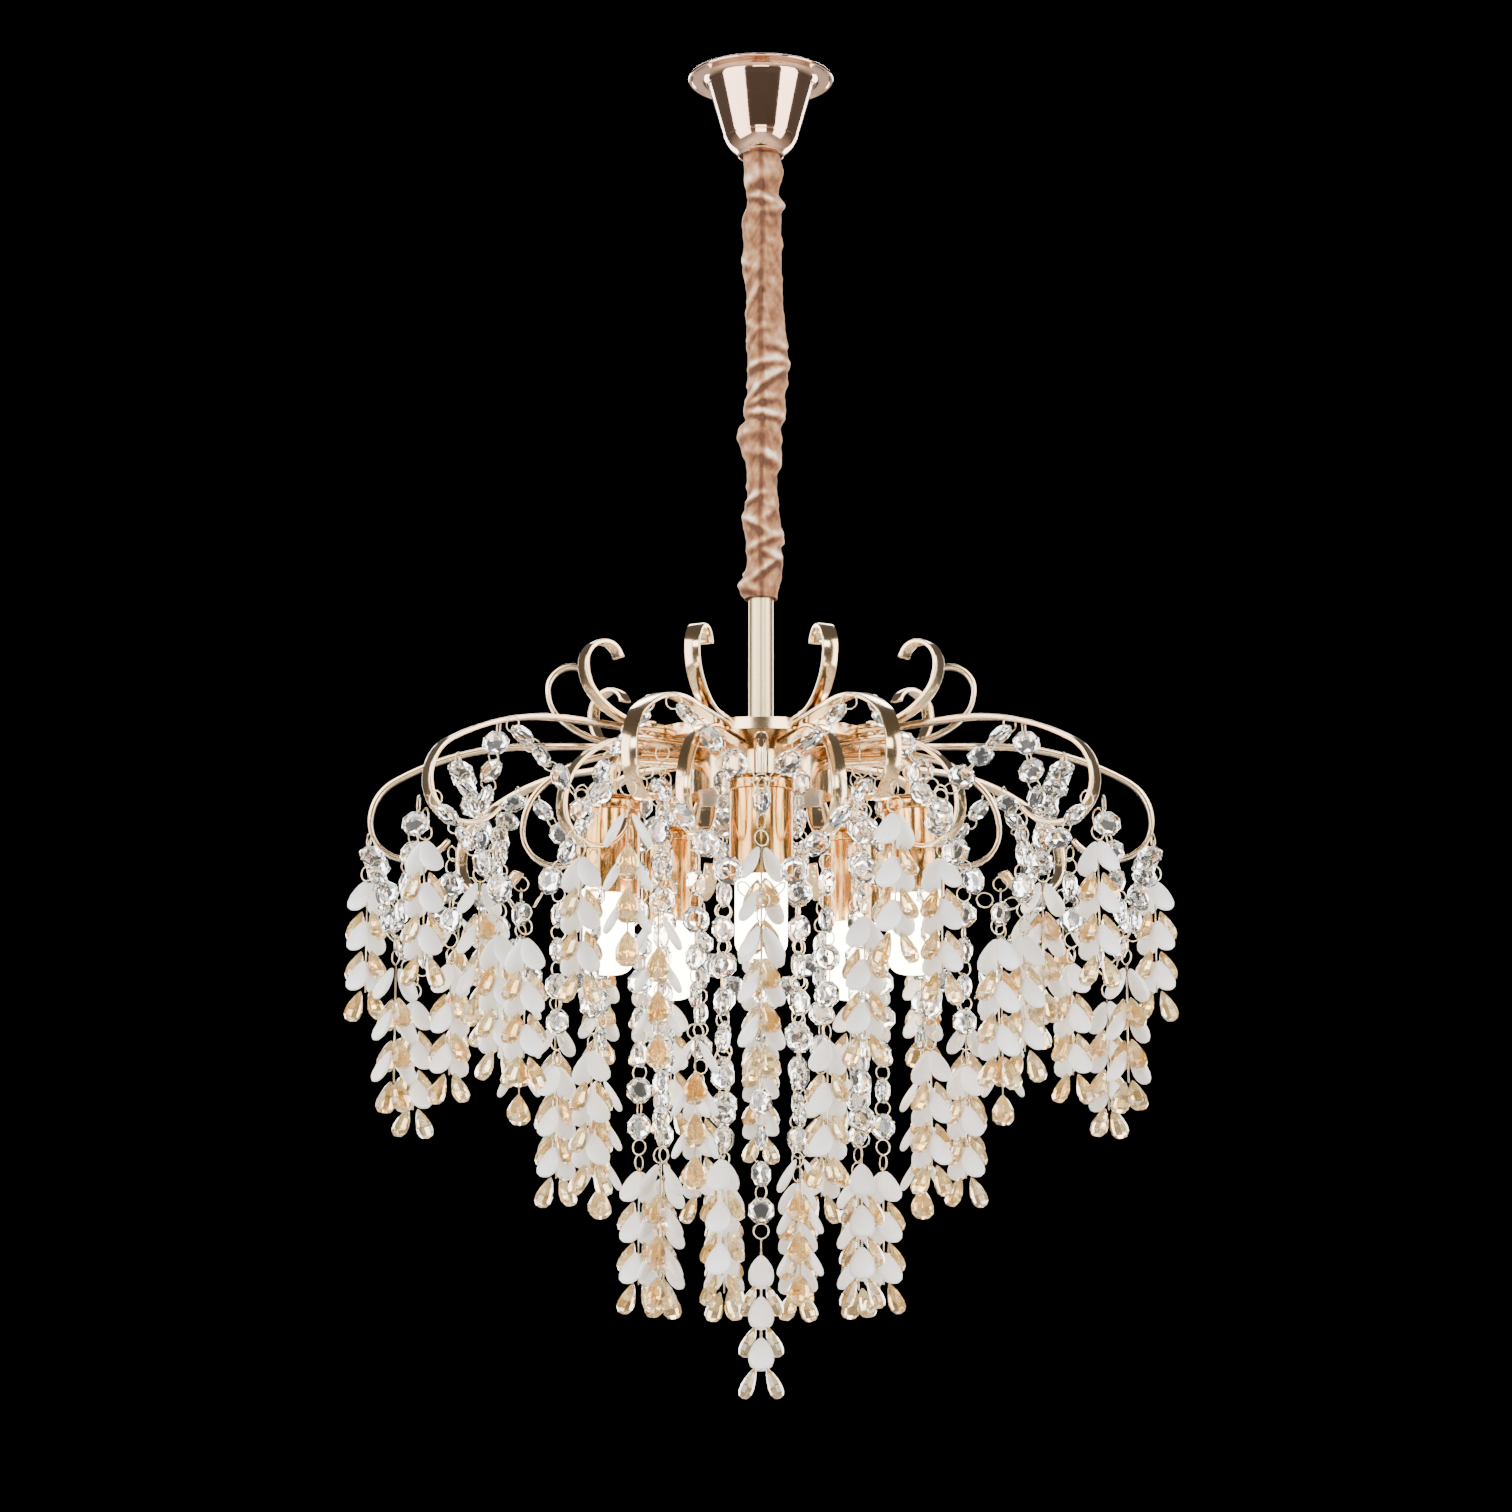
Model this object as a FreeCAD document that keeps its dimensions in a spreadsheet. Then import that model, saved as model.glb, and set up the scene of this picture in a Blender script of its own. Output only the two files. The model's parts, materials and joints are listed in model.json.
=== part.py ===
"""A small crystal pendant chandelier, as a FreeCAD macro.

The origin is on the ceiling, in the middle of the bracket's upper face, and +Z points up.
Ten flat-strip arms leave a round frame plate. Drops of cut crystal hang from them in rings, and five
tubular lamps point down between the arms.
"""
import FreeCAD, Part
import math
import os

import Sketcher
from FreeCAD import Placement, Rotation, Vector

doc = FreeCAD.newDocument("chandelier")
sheet = doc.addObject("Spreadsheet::Sheet", "Sizes")

DIMENSIONS = {
    # ceiling bracket and hook
    "bracket_length": 46.0,
    "bracket_width": 14.0,
    "bracket_thickness": 2.0,
    "bracket_drop": 13.0,
    "bracket_hole_radius": 2.2,
    "bracket_hole_spacing": 30.0,
    "hook_radius": 5.0,
    "hook_wire": 3.0,
    "hook_depth": 20.0,
    # canopy
    "flange_radius": 42.0,
    "flange_depth": 2.4,
    "bell_top_radius": 30.2,
    "bell_waist_radius": 20.5,
    "bell_waist_depth": 38.0,
    "bell_depth": 48.3,
    "neck_radius": 12.8,
    "canopy_wall": 1.0,
    "canopy_screw_radius": 1.9,
    # suspension
    "link_wire": 2.4,
    "link_width": 11.0,
    "link_pitch": 15.0,
    "link_play": 0.12,
    "link_count": 18,
    "sleeve_radius": 12.0,
    "sleeve_wall": 1.2,
    "sleeve_top": -36.0,
    "sleeve_bottom": -310.2,
    "loop_radius": 5.0,
    "loop_wire": 2.6,
    "stem_radius": 7.0,
    "stem_wall": 1.2,
    # frame
    "plate_height": -392.0,
    "plate_radius": 69.0,
    "plate_depth": 6.3,
    "plate_wall": 1.5,
    "drum_radius": 40.0,
    "drum_wall": 1.5,
    "drum_depth": 30.0,
    "arm_count": 10,
    "strip_width": 8.4,
    "strip_thickness": 2.5,
    "rivet_radius": 1.5,
    "rivet_head": 2.8,
    "rivet_place": 75.0,
    # lamps
    "lamp_count": 5,
    "lamp_circle": 88.0,
    "lamp_angle": 54.0,
    "lamp_tube_radius": 4.0,
    "lamp_tube_wall": 1.0,
    "cap_radius": 18.2,
    "cap_depth": 8.0,
    "cap_wall": 1.0,
    "lamp_drop": 13.5,
    "lamp_sleeve_radius": 17.0,
    "lamp_sleeve_wall": 0.8,
    "lamp_sleeve_length": 54.0,
    "holder_radius": 12.5,
    "holder_length": 34.0,
    "bulb_radius": 14.0,
    "bulb_length": 62.0,
    "bulb_cap_radius": 7.0,
    "bulb_cap_length": 24.0,
    "bulb_clearance": 0.4,
    "bulb_seat_gap": 0.5,
    # crystal
    "bead_size": 14.0,
    "bead_table": 8.6,
    "bead_thickness": 6.4,
    "bead_girdle": 1.2,
    "bead_pitch": 20.0,
    "swag_pitch": 18.0,
    "ear_gap": 17.0,
    "petal_width": 14.0,
    "petal_length": 20.0,
    "petal_thickness": 4.6,
    "drop_width": 12.4,
    "drop_depth": 7.4,
    "drop_length": 18.0,
    "tier_pitch": 22.3,
    "tier_count": 3,
    "petal_splay": 29.0,
    "drop_splay": 23.0,
    "drop_lag": 16.3,
    "pin_width": 1.0,
    "core_width": 1.5,
    "petal_out": 2.05,
    "drop_out": 3.15,
    "clasp_length": 9.0,
    "clasp_width": 3.0,
    "clasp_reach": 5.4,
}


class Size:
    """A length that knows its value and the spreadsheet expression that gives it."""

    def __init__(self, value, text):
        self.value = value
        self.text = text

    def _join(self, other, sign, result):
        other_text = other.text if isinstance(other, Size) else repr(float(other))
        return Size(result, f"({self.text} {sign} {other_text})")

    def __add__(self, other):
        return self._join(other, "+", self.value + value_of(other))

    def __sub__(self, other):
        return self._join(other, "-", self.value - value_of(other))

    def __mul__(self, other):
        return self._join(other, "*", self.value * value_of(other))

    def __truediv__(self, other):
        return self._join(other, "/", self.value / value_of(other))

    def __neg__(self):
        return self * -1.0


def value_of(length):
    return length.value if isinstance(length, Size) else float(length)


for row, (alias, number) in enumerate(DIMENSIONS.items(), start=1):
    sheet.set(f"A{row}", alias)
    sheet.set(f"B{row}", str(number))
    sheet.setAlias(f"B{row}", alias)
doc.recompute()


def size(alias):
    """The named cell as a Size."""
    return Size(float(sheet.get(alias)), f"Sizes.{alias}")


def mm(alias):
    """The named cell as a plain number."""
    return float(sheet.get(alias))


def bind(thing, prop, length):
    """Drives a property of a document object from the spreadsheet."""
    if isinstance(length, Size):
        thing.setExpression(prop, length.text)
    else:
        setattr(thing, prop, length)


def fixed_size(number):
    """A number that follows from the others, written so that it can stand beside them."""
    return Size(float(number), repr(float(number)))


ZERO = fixed_size(0.0)

# ---------------------------------------------------------------- sketching

AXIS_TOP = Vector(0, 0, 1)
ORIGIN = Vector(0, 0, 0)


def datum(body, role):
    return next(item for item in body.Origin.OriginFeatures if item.Role == role)


def sketch_on(body, role, name):
    sketch = body.newObject("Sketcher::SketchObject", name)
    sketch.AttachmentSupport = (datum(body, role), [""])
    sketch.MapMode = "FlatFace"
    return sketch


def fixed(sketch, kind, edge, end, length, name):
    """Ties one end of an edge to the origin along X or Y, from the spreadsheet."""
    index = sketch.addConstraint(Sketcher.Constraint(kind, -1, 1, edge, end, value_of(length)))
    sketch.renameConstraint(index, name)
    if isinstance(length, Size):
        sketch.setExpression(f"Constraints.{name}", length.text)


def arc_between(start, end, radius, turn):
    """The minor arc from start to end; turn is +1 when it bends to the left."""
    chord = end.sub(start)
    middle = (start + end) * 0.5
    rise = math.sqrt(max(radius ** 2 - (chord.Length / 2) ** 2, 0.0))
    left = Vector(-chord.y, chord.x, 0).normalize()
    centre = middle + left * rise * turn
    outward = (middle - centre).normalize() if rise > 1e-9 else left * -turn
    return Part.Arc(start, centre + outward * radius, end)


def trace(sketch, points, closed=True):
    """Draws an outline. A point is (x, y), or (x, y, radius, turn) where the edge after it is bent."""
    count = len(points) if closed else len(points) - 1
    places = [Vector(value_of(p[0]), value_of(p[1]), 0) for p in points]
    for i in range(count):
        start, end = places[i], places[(i + 1) % len(places)]
        if len(points[i]) == 4:
            edge = arc_between(start, end, value_of(points[i][2]), points[i][3])
        else:
            edge = Part.LineSegment(start, end)
        sketch.addGeometry(edge, False)
    for i, point in enumerate(points):
        edge = min(i, count - 1)
        end = end_at(sketch, edge, places[i])
        fixed(sketch, "DistanceX", edge, end, point[0], f"across{i}")
        fixed(sketch, "DistanceY", edge, end, point[1], f"up{i}")
        if len(point) == 4 and i < count:
            index = sketch.addConstraint(Sketcher.Constraint("Radius", i, value_of(point[2])))
            sketch.renameConstraint(index, f"bend{i}")
            if isinstance(point[2], Size):
                sketch.setExpression(f"Constraints.bend{i}", point[2].text)
    joins = count if closed else count - 1
    for i in range(joins):
        meeting = places[(i + 1) % len(places)]
        after = (i + 1) % count
        ends = (end_at(sketch, i, meeting), end_at(sketch, after, meeting))
        sketch.addConstraint(Sketcher.Constraint("Coincident", i, ends[0], after, ends[1]))


def end_at(sketch, edge, place):
    """1 or 2: which end of the edge lies at that place. A left-hand arc is stored turned round."""
    return 1 if sketch.getPoint(edge, 1).distanceToPoint(place) < 1e-6 else 2


def pivot(body, feature_type, name, sketch, angle=360.0):
    """Turns a sketch on the XZ plane about the Z axis."""
    feature = body.newObject(f"PartDesign::{feature_type}", name)
    feature.Profile = sketch
    feature.ReferenceAxis = (datum(body, "Z_Axis"), [""])
    feature.Angle = angle
    return feature


def new_body(label):
    body = doc.addObject("PartDesign::Body", label)
    body.Label = label
    return body


def turned(label, points):
    """A body of revolution from a closed outline of (radius, height) points."""
    body = new_body(label)
    sketch = sketch_on(body, "XZ_Plane", f"{label}_outline")
    trace(sketch, points)
    pivot(body, "Revolution", f"{label}_turned", sketch)
    return body


def around(body, feature, count):
    """Repeats a feature round the Z axis and makes that the body's result."""
    doc.recompute()
    pattern = body.newObject("PartDesign::PolarPattern", f"{body.Name}_ring")
    pattern.Originals = [feature]
    pattern.Axis = (datum(body, "Z_Axis"), [""])
    pattern.Angle = 360
    bind(pattern, "Occurrences", count)
    body.Tip = pattern
    return pattern


def cut_holes(body, name, role, circles, length):
    """Pockets round holes, given as (x, y, radius), through the body both ways from a datum plane."""
    sketch = sketch_on(body, role, f"{name}_holes")
    for i, (across, up, radius) in enumerate(circles):
        place = Vector(value_of(across), value_of(up), 0)
        sketch.addGeometry(Part.Circle(place, AXIS_TOP, value_of(radius)), False)
        fixed(sketch, "DistanceX", i, 3, across, f"across{i}")
        fixed(sketch, "DistanceY", i, 3, up, f"up{i}")
        index = sketch.addConstraint(Sketcher.Constraint("Radius", i, value_of(radius)))
        sketch.renameConstraint(index, f"radius{i}")
        if isinstance(radius, Size):
            sketch.setExpression(f"Constraints.radius{i}", radius.text)
    pocket = body.newObject("PartDesign::Pocket", f"{name}_cut")
    pocket.Profile = sketch
    pocket.SideType = "Symmetric"
    pocket.Length = length
    return pocket


# ---------------------------------------------------------------- ceiling bracket and hook


def ceiling_bracket():
    """A strip with two screw holes and two forked tabs that take the canopy's side screws."""
    body = new_body("ceiling_bracket")
    half = size("bracket_length") / 2
    thick = size("bracket_thickness")
    drop = size("bracket_drop")
    sketch = sketch_on(body, "XZ_Plane", "bracket_section")
    trace(
        sketch,
        [
            (-half, ZERO),
            (-half, -drop),
            (-(half - thick), -drop),
            (-(half - thick), -thick),
            (half - thick, -thick),
            (half - thick, -drop),
            (half, -drop),
            (half, ZERO),
        ],
    )
    pad = body.newObject("PartDesign::Pad", "bracket_pad")
    pad.Profile = sketch
    pad.SideType = "Symmetric"
    bind(pad, "Length", size("bracket_width"))
    doc.recompute()
    spacing = size("bracket_hole_spacing") / 2
    radius = size("bracket_hole_radius")
    cut_holes(body, "bracket", "XY_Plane", [(spacing, ZERO, radius), (-spacing, ZERO, radius)], 8.0)
    doc.recompute()
    fork = sketch_on(body, "YZ_Plane", "bracket_fork")
    slot = size("canopy_screw_radius") + 0.3
    top = -(drop - 5.5)
    trace(fork, [(-slot, -(drop + 2)), (slot, -(drop + 2)), (slot, top), (-slot, top)])
    pocket = body.newObject("PartDesign::Pocket", "bracket_fork_cut")
    pocket.Profile = fork
    pocket.SideType = "Symmetric"
    bind(pocket, "Length", size("bracket_length") + 4)
    return body


def ring(name, radius, wire, centre, turn, angle=360.0):
    """A round wire bent into a ring or part of one."""
    torus = doc.addObject("Part::Torus", name)
    bind(torus, "Radius1", radius)
    bind(torus, "Radius2", wire)
    torus.Angle3 = angle
    torus.Placement = Placement(centre, turn)
    return torus


def rod(name, radius, length, centre, turn=Rotation()):
    cylinder = doc.addObject("Part::Cylinder", name)
    bind(cylinder, "Radius", radius)
    bind(cylinder, "Height", length)
    cylinder.Placement = Placement(centre, turn)
    return cylinder


def fused(label, pieces):
    fuse = doc.addObject("Part::MultiFuse", label)
    fuse.Label = label
    fuse.Shapes = pieces
    fuse.Refine = True
    return fuse


UPRIGHT = Rotation(Vector(1, 0, 0), 90)
HOOK_CENTRE = -(mm("bracket_thickness") + mm("hook_depth") - mm("hook_radius"))


def ceiling_hook():
    """A closed eye in the XZ plane under a short threaded shank with a round foot."""
    radius, wire = size("hook_radius"), size("hook_wire") / 2
    eye = ring("hook_eye", radius, wire, Vector(0, 0, HOOK_CENTRE), UPRIGHT)
    shank_top = -mm("bracket_thickness")
    shank_length = shank_top - (HOOK_CENTRE + mm("hook_radius"))
    shank = rod("hook_shank", wire, shank_length, Vector(0, 0, HOOK_CENTRE + mm("hook_radius")))
    foot = rod("hook_foot", 5.0, 2.5, Vector(0, 0, shank_top - 2.5))
    return fused("ceiling_hook", [eye, shank, foot])


# ---------------------------------------------------------------- canopy


def canopy():
    """A spun bell: a flat flange with a turned-down lip, a tapering body and a rounded neck."""
    wall = size("canopy_wall")
    flange, lip = size("flange_radius"), size("flange_depth")
    top, shoulder = size("bell_top_radius"), 5.0
    waist, waist_depth = size("bell_waist_radius"), size("bell_waist_depth")
    neck, depth = size("neck_radius"), size("bell_depth")
    body = turned(
        "canopy",
        [
            (top + 4.3, ZERO),
            (flange, ZERO),
            (flange, -lip),
            (flange - wall, -lip),
            (flange - wall, -wall),
            (top + 4.3, -wall, 5.0, 1),
            (top, fixed_size(-shoulder)),
            (waist, -waist_depth, 16.0, -1),
            (neck, -depth),
            (neck, wall - depth, 15.0, 1),
            (waist - wall, -waist_depth),
            (top - wall, fixed_size(-shoulder), 6.0, -1),
        ],
    )
    doc.recompute()
    place = size("bracket_drop") - 3.0
    cut_holes(body, "canopy", "YZ_Plane", [(ZERO, -place, size("canopy_screw_radius") + 0.05)], 80.0)
    return body


def canopy_screws():
    """Two headless set screws that hold the bell to the bracket's forked tabs."""
    body = new_body("canopy_screws")
    place = size("bracket_drop") - 3.0
    shank = size("canopy_screw_radius")
    tip = size("bracket_length") / 2 - size("bracket_thickness") - 1.5
    end = size("bell_top_radius") - 1.2
    sketch = sketch_on(body, "XZ_Plane", "screw_outline")
    trace(sketch, [(tip, -place), (end, -place), (end, shank - place), (tip, shank - place)])
    axis = sketch_on(body, "XZ_Plane", "screw_axis")
    trace(axis, [(tip, -place), (end, -place)], closed=False)
    screw = body.newObject("PartDesign::Revolution", "screw_turned")
    screw.Profile = sketch
    screw.ReferenceAxis = (axis, ["Edge1"])
    screw.Angle = 360.0
    around(body, screw, 2)
    return body


def terminal_block():
    """The strip of screw terminals that joins the house wires to the lamp wires."""
    block = doc.addObject("Part::Box", "terminal_block")
    block.Label = "terminal_block"
    block.Length = 16.0
    block.Width = 5.0
    block.Height = 8.0
    block.Placement = Placement(Vector(-8.0, -(mm("bracket_width") / 2 + 6.5), -12.0), Rotation())
    return block


# ---------------------------------------------------------------- chain and sleeve

LINK_STEP = mm("link_pitch")
LINK_HALF = (mm("link_pitch") + mm("link_wire") + mm("link_play")) / 2
HOOK_FOOT = HOOK_CENTRE - mm("hook_radius")
FIRST_LINK = HOOK_FOOT + (mm("hook_wire") + mm("link_wire")) / 2 + mm("link_play") - LINK_HALF


def link_shape(name):
    """One oval link in the XZ plane, centred on the origin: two half rings and two straight sides."""
    wire = size("link_wire") / 2
    bend = (size("link_width") - size("link_wire")) / 2
    outer_length = size("link_pitch") + size("link_wire") * 2 + size("link_play")
    straight = outer_length - size("link_width")
    half = straight.value / 2
    top = ring(f"{name}_top", bend, wire, Vector(0, 0, half), UPRIGHT, 180.0)
    foot = ring(f"{name}_foot", bend, wire, Vector(0, 0, -half), Rotation(Vector(1, 0, 0), -90), 180.0)
    left = rod(f"{name}_left", wire, straight, Vector(-bend.value, 0, -half))
    right = rod(f"{name}_right", wire, straight, Vector(bend.value, 0, -half))
    return fused(name, [top, foot, left, right])


def set_of(label, shapes):
    """Several solids of one kind in one node."""
    node = doc.addObject("Part::Feature", label)
    node.Label = label
    node.Shape = Part.makeCompound(shapes)
    return node


def moved(shape, placement):
    copy = shape.copy()
    copy.Placement = placement.multiply(copy.Placement)
    return copy


def link_place(index):
    """Where a link hangs. The first goes through the hook, and each next one is turned a quarter."""
    return Placement(Vector(0, 0, FIRST_LINK - LINK_STEP * index), Rotation(AXIS_TOP, 90.0 * (index + 1)))


def chain():
    """The chain as two nodes, because its lowest link swings apart from the rest."""
    master = link_shape("link_master")
    doc.recompute()
    last = int(mm("link_count")) - 1
    links = [moved(master.Shape, link_place(i)) for i in range(last + 1)]
    return [set_of("chain_links", links[:last]), set_of("chain_bottom_link", links[last:])]


def chain_sleeve():
    """The fabric tube gathered over the chain, as a plain tube."""
    outside = size("sleeve_radius")
    inside = outside - size("sleeve_wall")
    top, bottom = size("sleeve_top"), size("sleeve_bottom")
    return turned("chain_sleeve", [(inside, bottom), (outside, bottom), (outside, top), (inside, top)])


LINK_HINGE = FIRST_LINK - LINK_STEP * (mm("link_count") - 2) - LINK_HALF
LOOP_HINGE = LINK_HINGE - LINK_STEP
LOOP_TOP = LOOP_HINGE + (mm("link_wire") + mm("loop_wire")) / 2 + mm("link_play")
LOOP_CENTRE = LOOP_TOP - mm("loop_radius")


def stem_loop():
    """The eye that the last link carries, on a domed plug that closes the top of the stem."""
    radius, wire = size("loop_radius"), size("loop_wire") / 2
    turn = Rotation(AXIS_TOP, 90.0 * (mm("link_count") + 1)).multiply(UPRIGHT)
    eye = ring("loop_eye", radius, wire, Vector(0, 0, LOOP_CENTRE), turn)
    base = LOOP_CENTRE - mm("loop_radius") - 2.0
    plug = rod("loop_plug", size("stem_radius") - 0.6, 3.0, Vector(0, 0, base))
    return fused("stem_loop", [eye, plug])


STEM_TOP = LOOP_CENTRE - mm("loop_radius") - 2.0


def stem_tube():
    """The straight tube from the loop down to the frame plate."""
    outside = size("stem_radius")
    inside = outside - size("stem_wall")
    top = fixed_size(STEM_TOP)
    bottom = size("plate_height")
    return turned("stem_tube", [(inside, bottom), (outside, bottom), (outside, top), (inside, top)])


# ---------------------------------------------------------------- frame


def frame_plate():
    """A round plate with a turned-down rim; the arms are welded to its rim."""
    wall, top = size("plate_wall"), size("plate_height")
    outer = size("plate_radius")
    bore = fixed_size(3.2)
    return turned(
        "frame_plate",
        [
            (bore, top - wall),
            (bore, top),
            (outer, top),
            (outer, top - size("plate_depth")),
            (outer - wall, top - size("plate_depth")),
            (outer - wall, top - wall),
        ],
    )


def hub_drum():
    """The round box under the plate that holds the wire joints."""
    wall, top = size("drum_wall"), size("plate_height") - size("plate_wall")
    outer = size("drum_radius")
    bottom = size("plate_height") - size("drum_depth")
    body = turned("hub_drum", [(outer - wall, bottom), (outer, bottom), (outer, top), (outer - wall, top)])
    doc.recompute()
    sketch = sketch_on(body, "YZ_Plane", "drum_wire_hole")
    sketch.addGeometry(Part.Circle(Vector(0, LAMP_TUBE_HEIGHT, 0), AXIS_TOP, 3.0), False)
    cut = body.newObject("PartDesign::Pocket", "drum_wire_cut")
    cut.Profile = sketch
    cut.Length = value_of(outer) + 4
    cut.Reversed = True
    around(body, cut, size("lamp_count"))
    body.Placement = Placement(ORIGIN, Rotation(AXIS_TOP, mm("lamp_angle")))
    return body


def hub_base():
    """The drum's pressed-on floor with a small centre eye for the longest strand."""
    bottom = size("plate_height") - size("drum_depth")
    outer = size("drum_radius")
    return turned(
        "hub_base",
        [
            (ZERO, bottom),
            (ZERO, bottom - 6.0),
            (fixed_size(2.0), bottom - 6.0),
            (fixed_size(3.0), bottom - 1.6),
            (outer, bottom - 1.6),
            (outer, bottom),
        ],
    )


def strip_outline(start, steps, thickness):
    """Both sides of a bent strip. A step is ("run", length) or (radius, degrees), left turns positive.

    The strip starts level. Each side is the middle line moved by half the thickness along its normal.
    """
    x, y = start
    heading = 0.0
    half = thickness / 2
    nodes = [(x, y, heading)]
    bends = []
    for step in steps:
        if step[0] == "run":
            x = x + step[1] * math.cos(math.radians(heading))
            y = y + step[1] * math.sin(math.radians(heading))
            bends.append(None)
        else:
            radius, turn = step
            side = 1 if turn > 0 else -1
            after = heading + turn
            across = side * (math.sin(math.radians(after)) - math.sin(math.radians(heading)))
            up = side * (math.cos(math.radians(heading)) - math.cos(math.radians(after)))
            x = x + radius * across
            y = y + radius * up
            heading = after
            bends.append((fixed_size(radius), side))
        nodes.append((x, y, heading))

    def edge(index, side):
        px, py, angle = nodes[index]
        shift = half * side
        return px - shift * math.sin(math.radians(angle)), py + shift * math.cos(math.radians(angle))

    points = []
    for i, bend in enumerate(bends):
        place = edge(i, 1)
        points.append(place if bend is None else (*place, bend[0] - half * bend[1], bend[1]))
    for i in range(len(bends), 0, -1):
        place = edge(i, -1)
        bend = bends[i - 1]
        points.append(place if bend is None else (*place, bend[0] + half * bend[1], -bend[1]))
    points.append(edge(0, -1))
    return points


def strips(label, start, steps, rivet_height=None):
    """Ten bent strips round the hub, with a rivet hole where they are joined."""
    body = new_body(label)
    sketch = sketch_on(body, "XZ_Plane", f"{label}_outline")
    trace(sketch, strip_outline(start, steps, size("strip_thickness")))
    pad = body.newObject("PartDesign::Pad", f"{label}_pad")
    pad.Profile = sketch
    pad.SideType = "Symmetric"
    bind(pad, "Length", size("strip_width"))
    features = [pad]
    if rivet_height is not None:
        doc.recompute()
        hole = sketch_on(body, "XY_Plane", f"{label}_rivet_hole")
        hole.AttachmentOffset = Placement(Vector(0, 0, rivet_height), Rotation())
        place = Vector(mm("rivet_place"), 0, 0)
        hole.addGeometry(Part.Circle(place, AXIS_TOP, mm("rivet_radius") + 0.05), False)
        cut = body.newObject("PartDesign::Pocket", f"{label}_rivet_cut")
        cut.Profile = hole
        cut.SideType = "Symmetric"
        cut.Length = 8.0
        features.append(cut)
    doc.recompute()
    pattern = body.newObject("PartDesign::PolarPattern", f"{label}_ring")
    pattern.Originals = features
    pattern.Axis = (datum(body, "Z_Axis"), [""])
    pattern.Angle = 360
    bind(pattern, "Occurrences", size("arm_count"))
    body.Tip = pattern
    return body


ARM_LEVEL = 2.8
RIM_START = size("plate_radius")
ARM_HEIGHT = size("plate_height") - ARM_LEVEL
SCROLL_HEIGHT = ARM_HEIGHT + size("strip_thickness")
LOWER_HEIGHT = size("plate_height") - size("plate_depth") - size("strip_thickness") / 2

ARM_STEPS = [("run", 61.0), (149.0, -30.0), (26.5, -60.0), (21.5, -90.0), (27.8, -53.0)]
SCROLL_STEPS = [("run", 11.0), (46.4, 45.0), (22.9, 45.0), (13.5, 90.0), (9.5, 80.0)]
LOWER_START = size("drum_radius") + 0.2
LOWER_STEPS = [("run", 38.8), (61.2, -45.0), (36.0, -45.0), (20.0, -90.0), (21.8, -78.0)]


def frame_strips():
    return [
        strips("main_arms", (RIM_START, ARM_HEIGHT), ARM_STEPS, ARM_HEIGHT.value),
        strips("upper_scrolls", (RIM_START, SCROLL_HEIGHT), SCROLL_STEPS, SCROLL_HEIGHT.value),
        strips("lower_scrolls", (LOWER_START, LOWER_HEIGHT), LOWER_STEPS),
    ]


def arm_rivets():
    """Round-headed rivets that clench each scroll onto its arm."""
    body = new_body("arm_rivets")
    place = size("rivet_place")
    shank, head = size("rivet_radius"), size("rivet_head")
    low = ARM_HEIGHT - size("strip_thickness") / 2
    high = SCROLL_HEIGHT + size("strip_thickness") / 2
    sketch = sketch_on(body, "XZ_Plane", "rivet_outline")
    trace(
        sketch,
        [
            (place, low - 1.2),
            (place + head, low - 1.2),
            (place + head, low),
            (place + shank, low),
            (place + shank, high),
            (place + head, high),
            (place + head, high + 1.2),
            (place, high + 1.2),
        ],
    )
    axis = sketch_on(body, "XZ_Plane", "rivet_axis")
    trace(axis, [(place, low - 1.2), (place, high + 1.2)], closed=False)
    rivet = body.newObject("PartDesign::Revolution", "rivet_turned")
    rivet.Profile = sketch
    rivet.ReferenceAxis = (axis, ["Edge1"])
    rivet.Angle = 360.0
    around(body, rivet, size("arm_count"))
    return body


# ---------------------------------------------------------------- lamps

LAMP_TUBE_HEIGHT = mm("plate_height") - 14.0
LAMP_BEND = 10.0
CAP_TOP = LAMP_TUBE_HEIGHT - LAMP_BEND - mm("lamp_drop")
CAP_INSIDE = CAP_TOP - mm("cap_wall")
HOLDER_FOOT = CAP_INSIDE - mm("holder_length")
LAMPS = [mm("lamp_angle") + 360.0 / mm("lamp_count") * i for i in range(int(mm("lamp_count")))]


def lamp_brackets():
    """Five bent tubes that leave the hub level and turn down into the lamp caps."""
    body = new_body("lamp_brackets")
    height = fixed_size(LAMP_TUBE_HEIGHT)
    reach = size("lamp_circle")
    path = sketch_on(body, "XZ_Plane", "bracket_path")
    corner = reach - LAMP_BEND
    trace(
        path,
        [
            (size("drum_radius"), height),
            (corner, height, fixed_size(LAMP_BEND), -1),
            (reach, height - LAMP_BEND),
            (reach, fixed_size(CAP_TOP)),
        ],
        closed=False,
    )
    section = sketch_on(body, "YZ_Plane", "bracket_tube")
    section.AttachmentOffset = Placement(Vector(0, 0, mm("drum_radius")), Rotation())
    for radius in (mm("lamp_tube_radius"), mm("lamp_tube_radius") - mm("lamp_tube_wall")):
        section.addGeometry(Part.Circle(Vector(0, LAMP_TUBE_HEIGHT, 0), AXIS_TOP, radius), False)
    doc.recompute()
    pipe = body.newObject("PartDesign::AdditivePipe", "bracket_pipe")
    pipe.Profile = section
    pipe.Spine = path
    around(body, pipe, size("lamp_count"))
    body.Placement = Placement(ORIGIN, Rotation(AXIS_TOP, mm("lamp_angle")))
    return body


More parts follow.
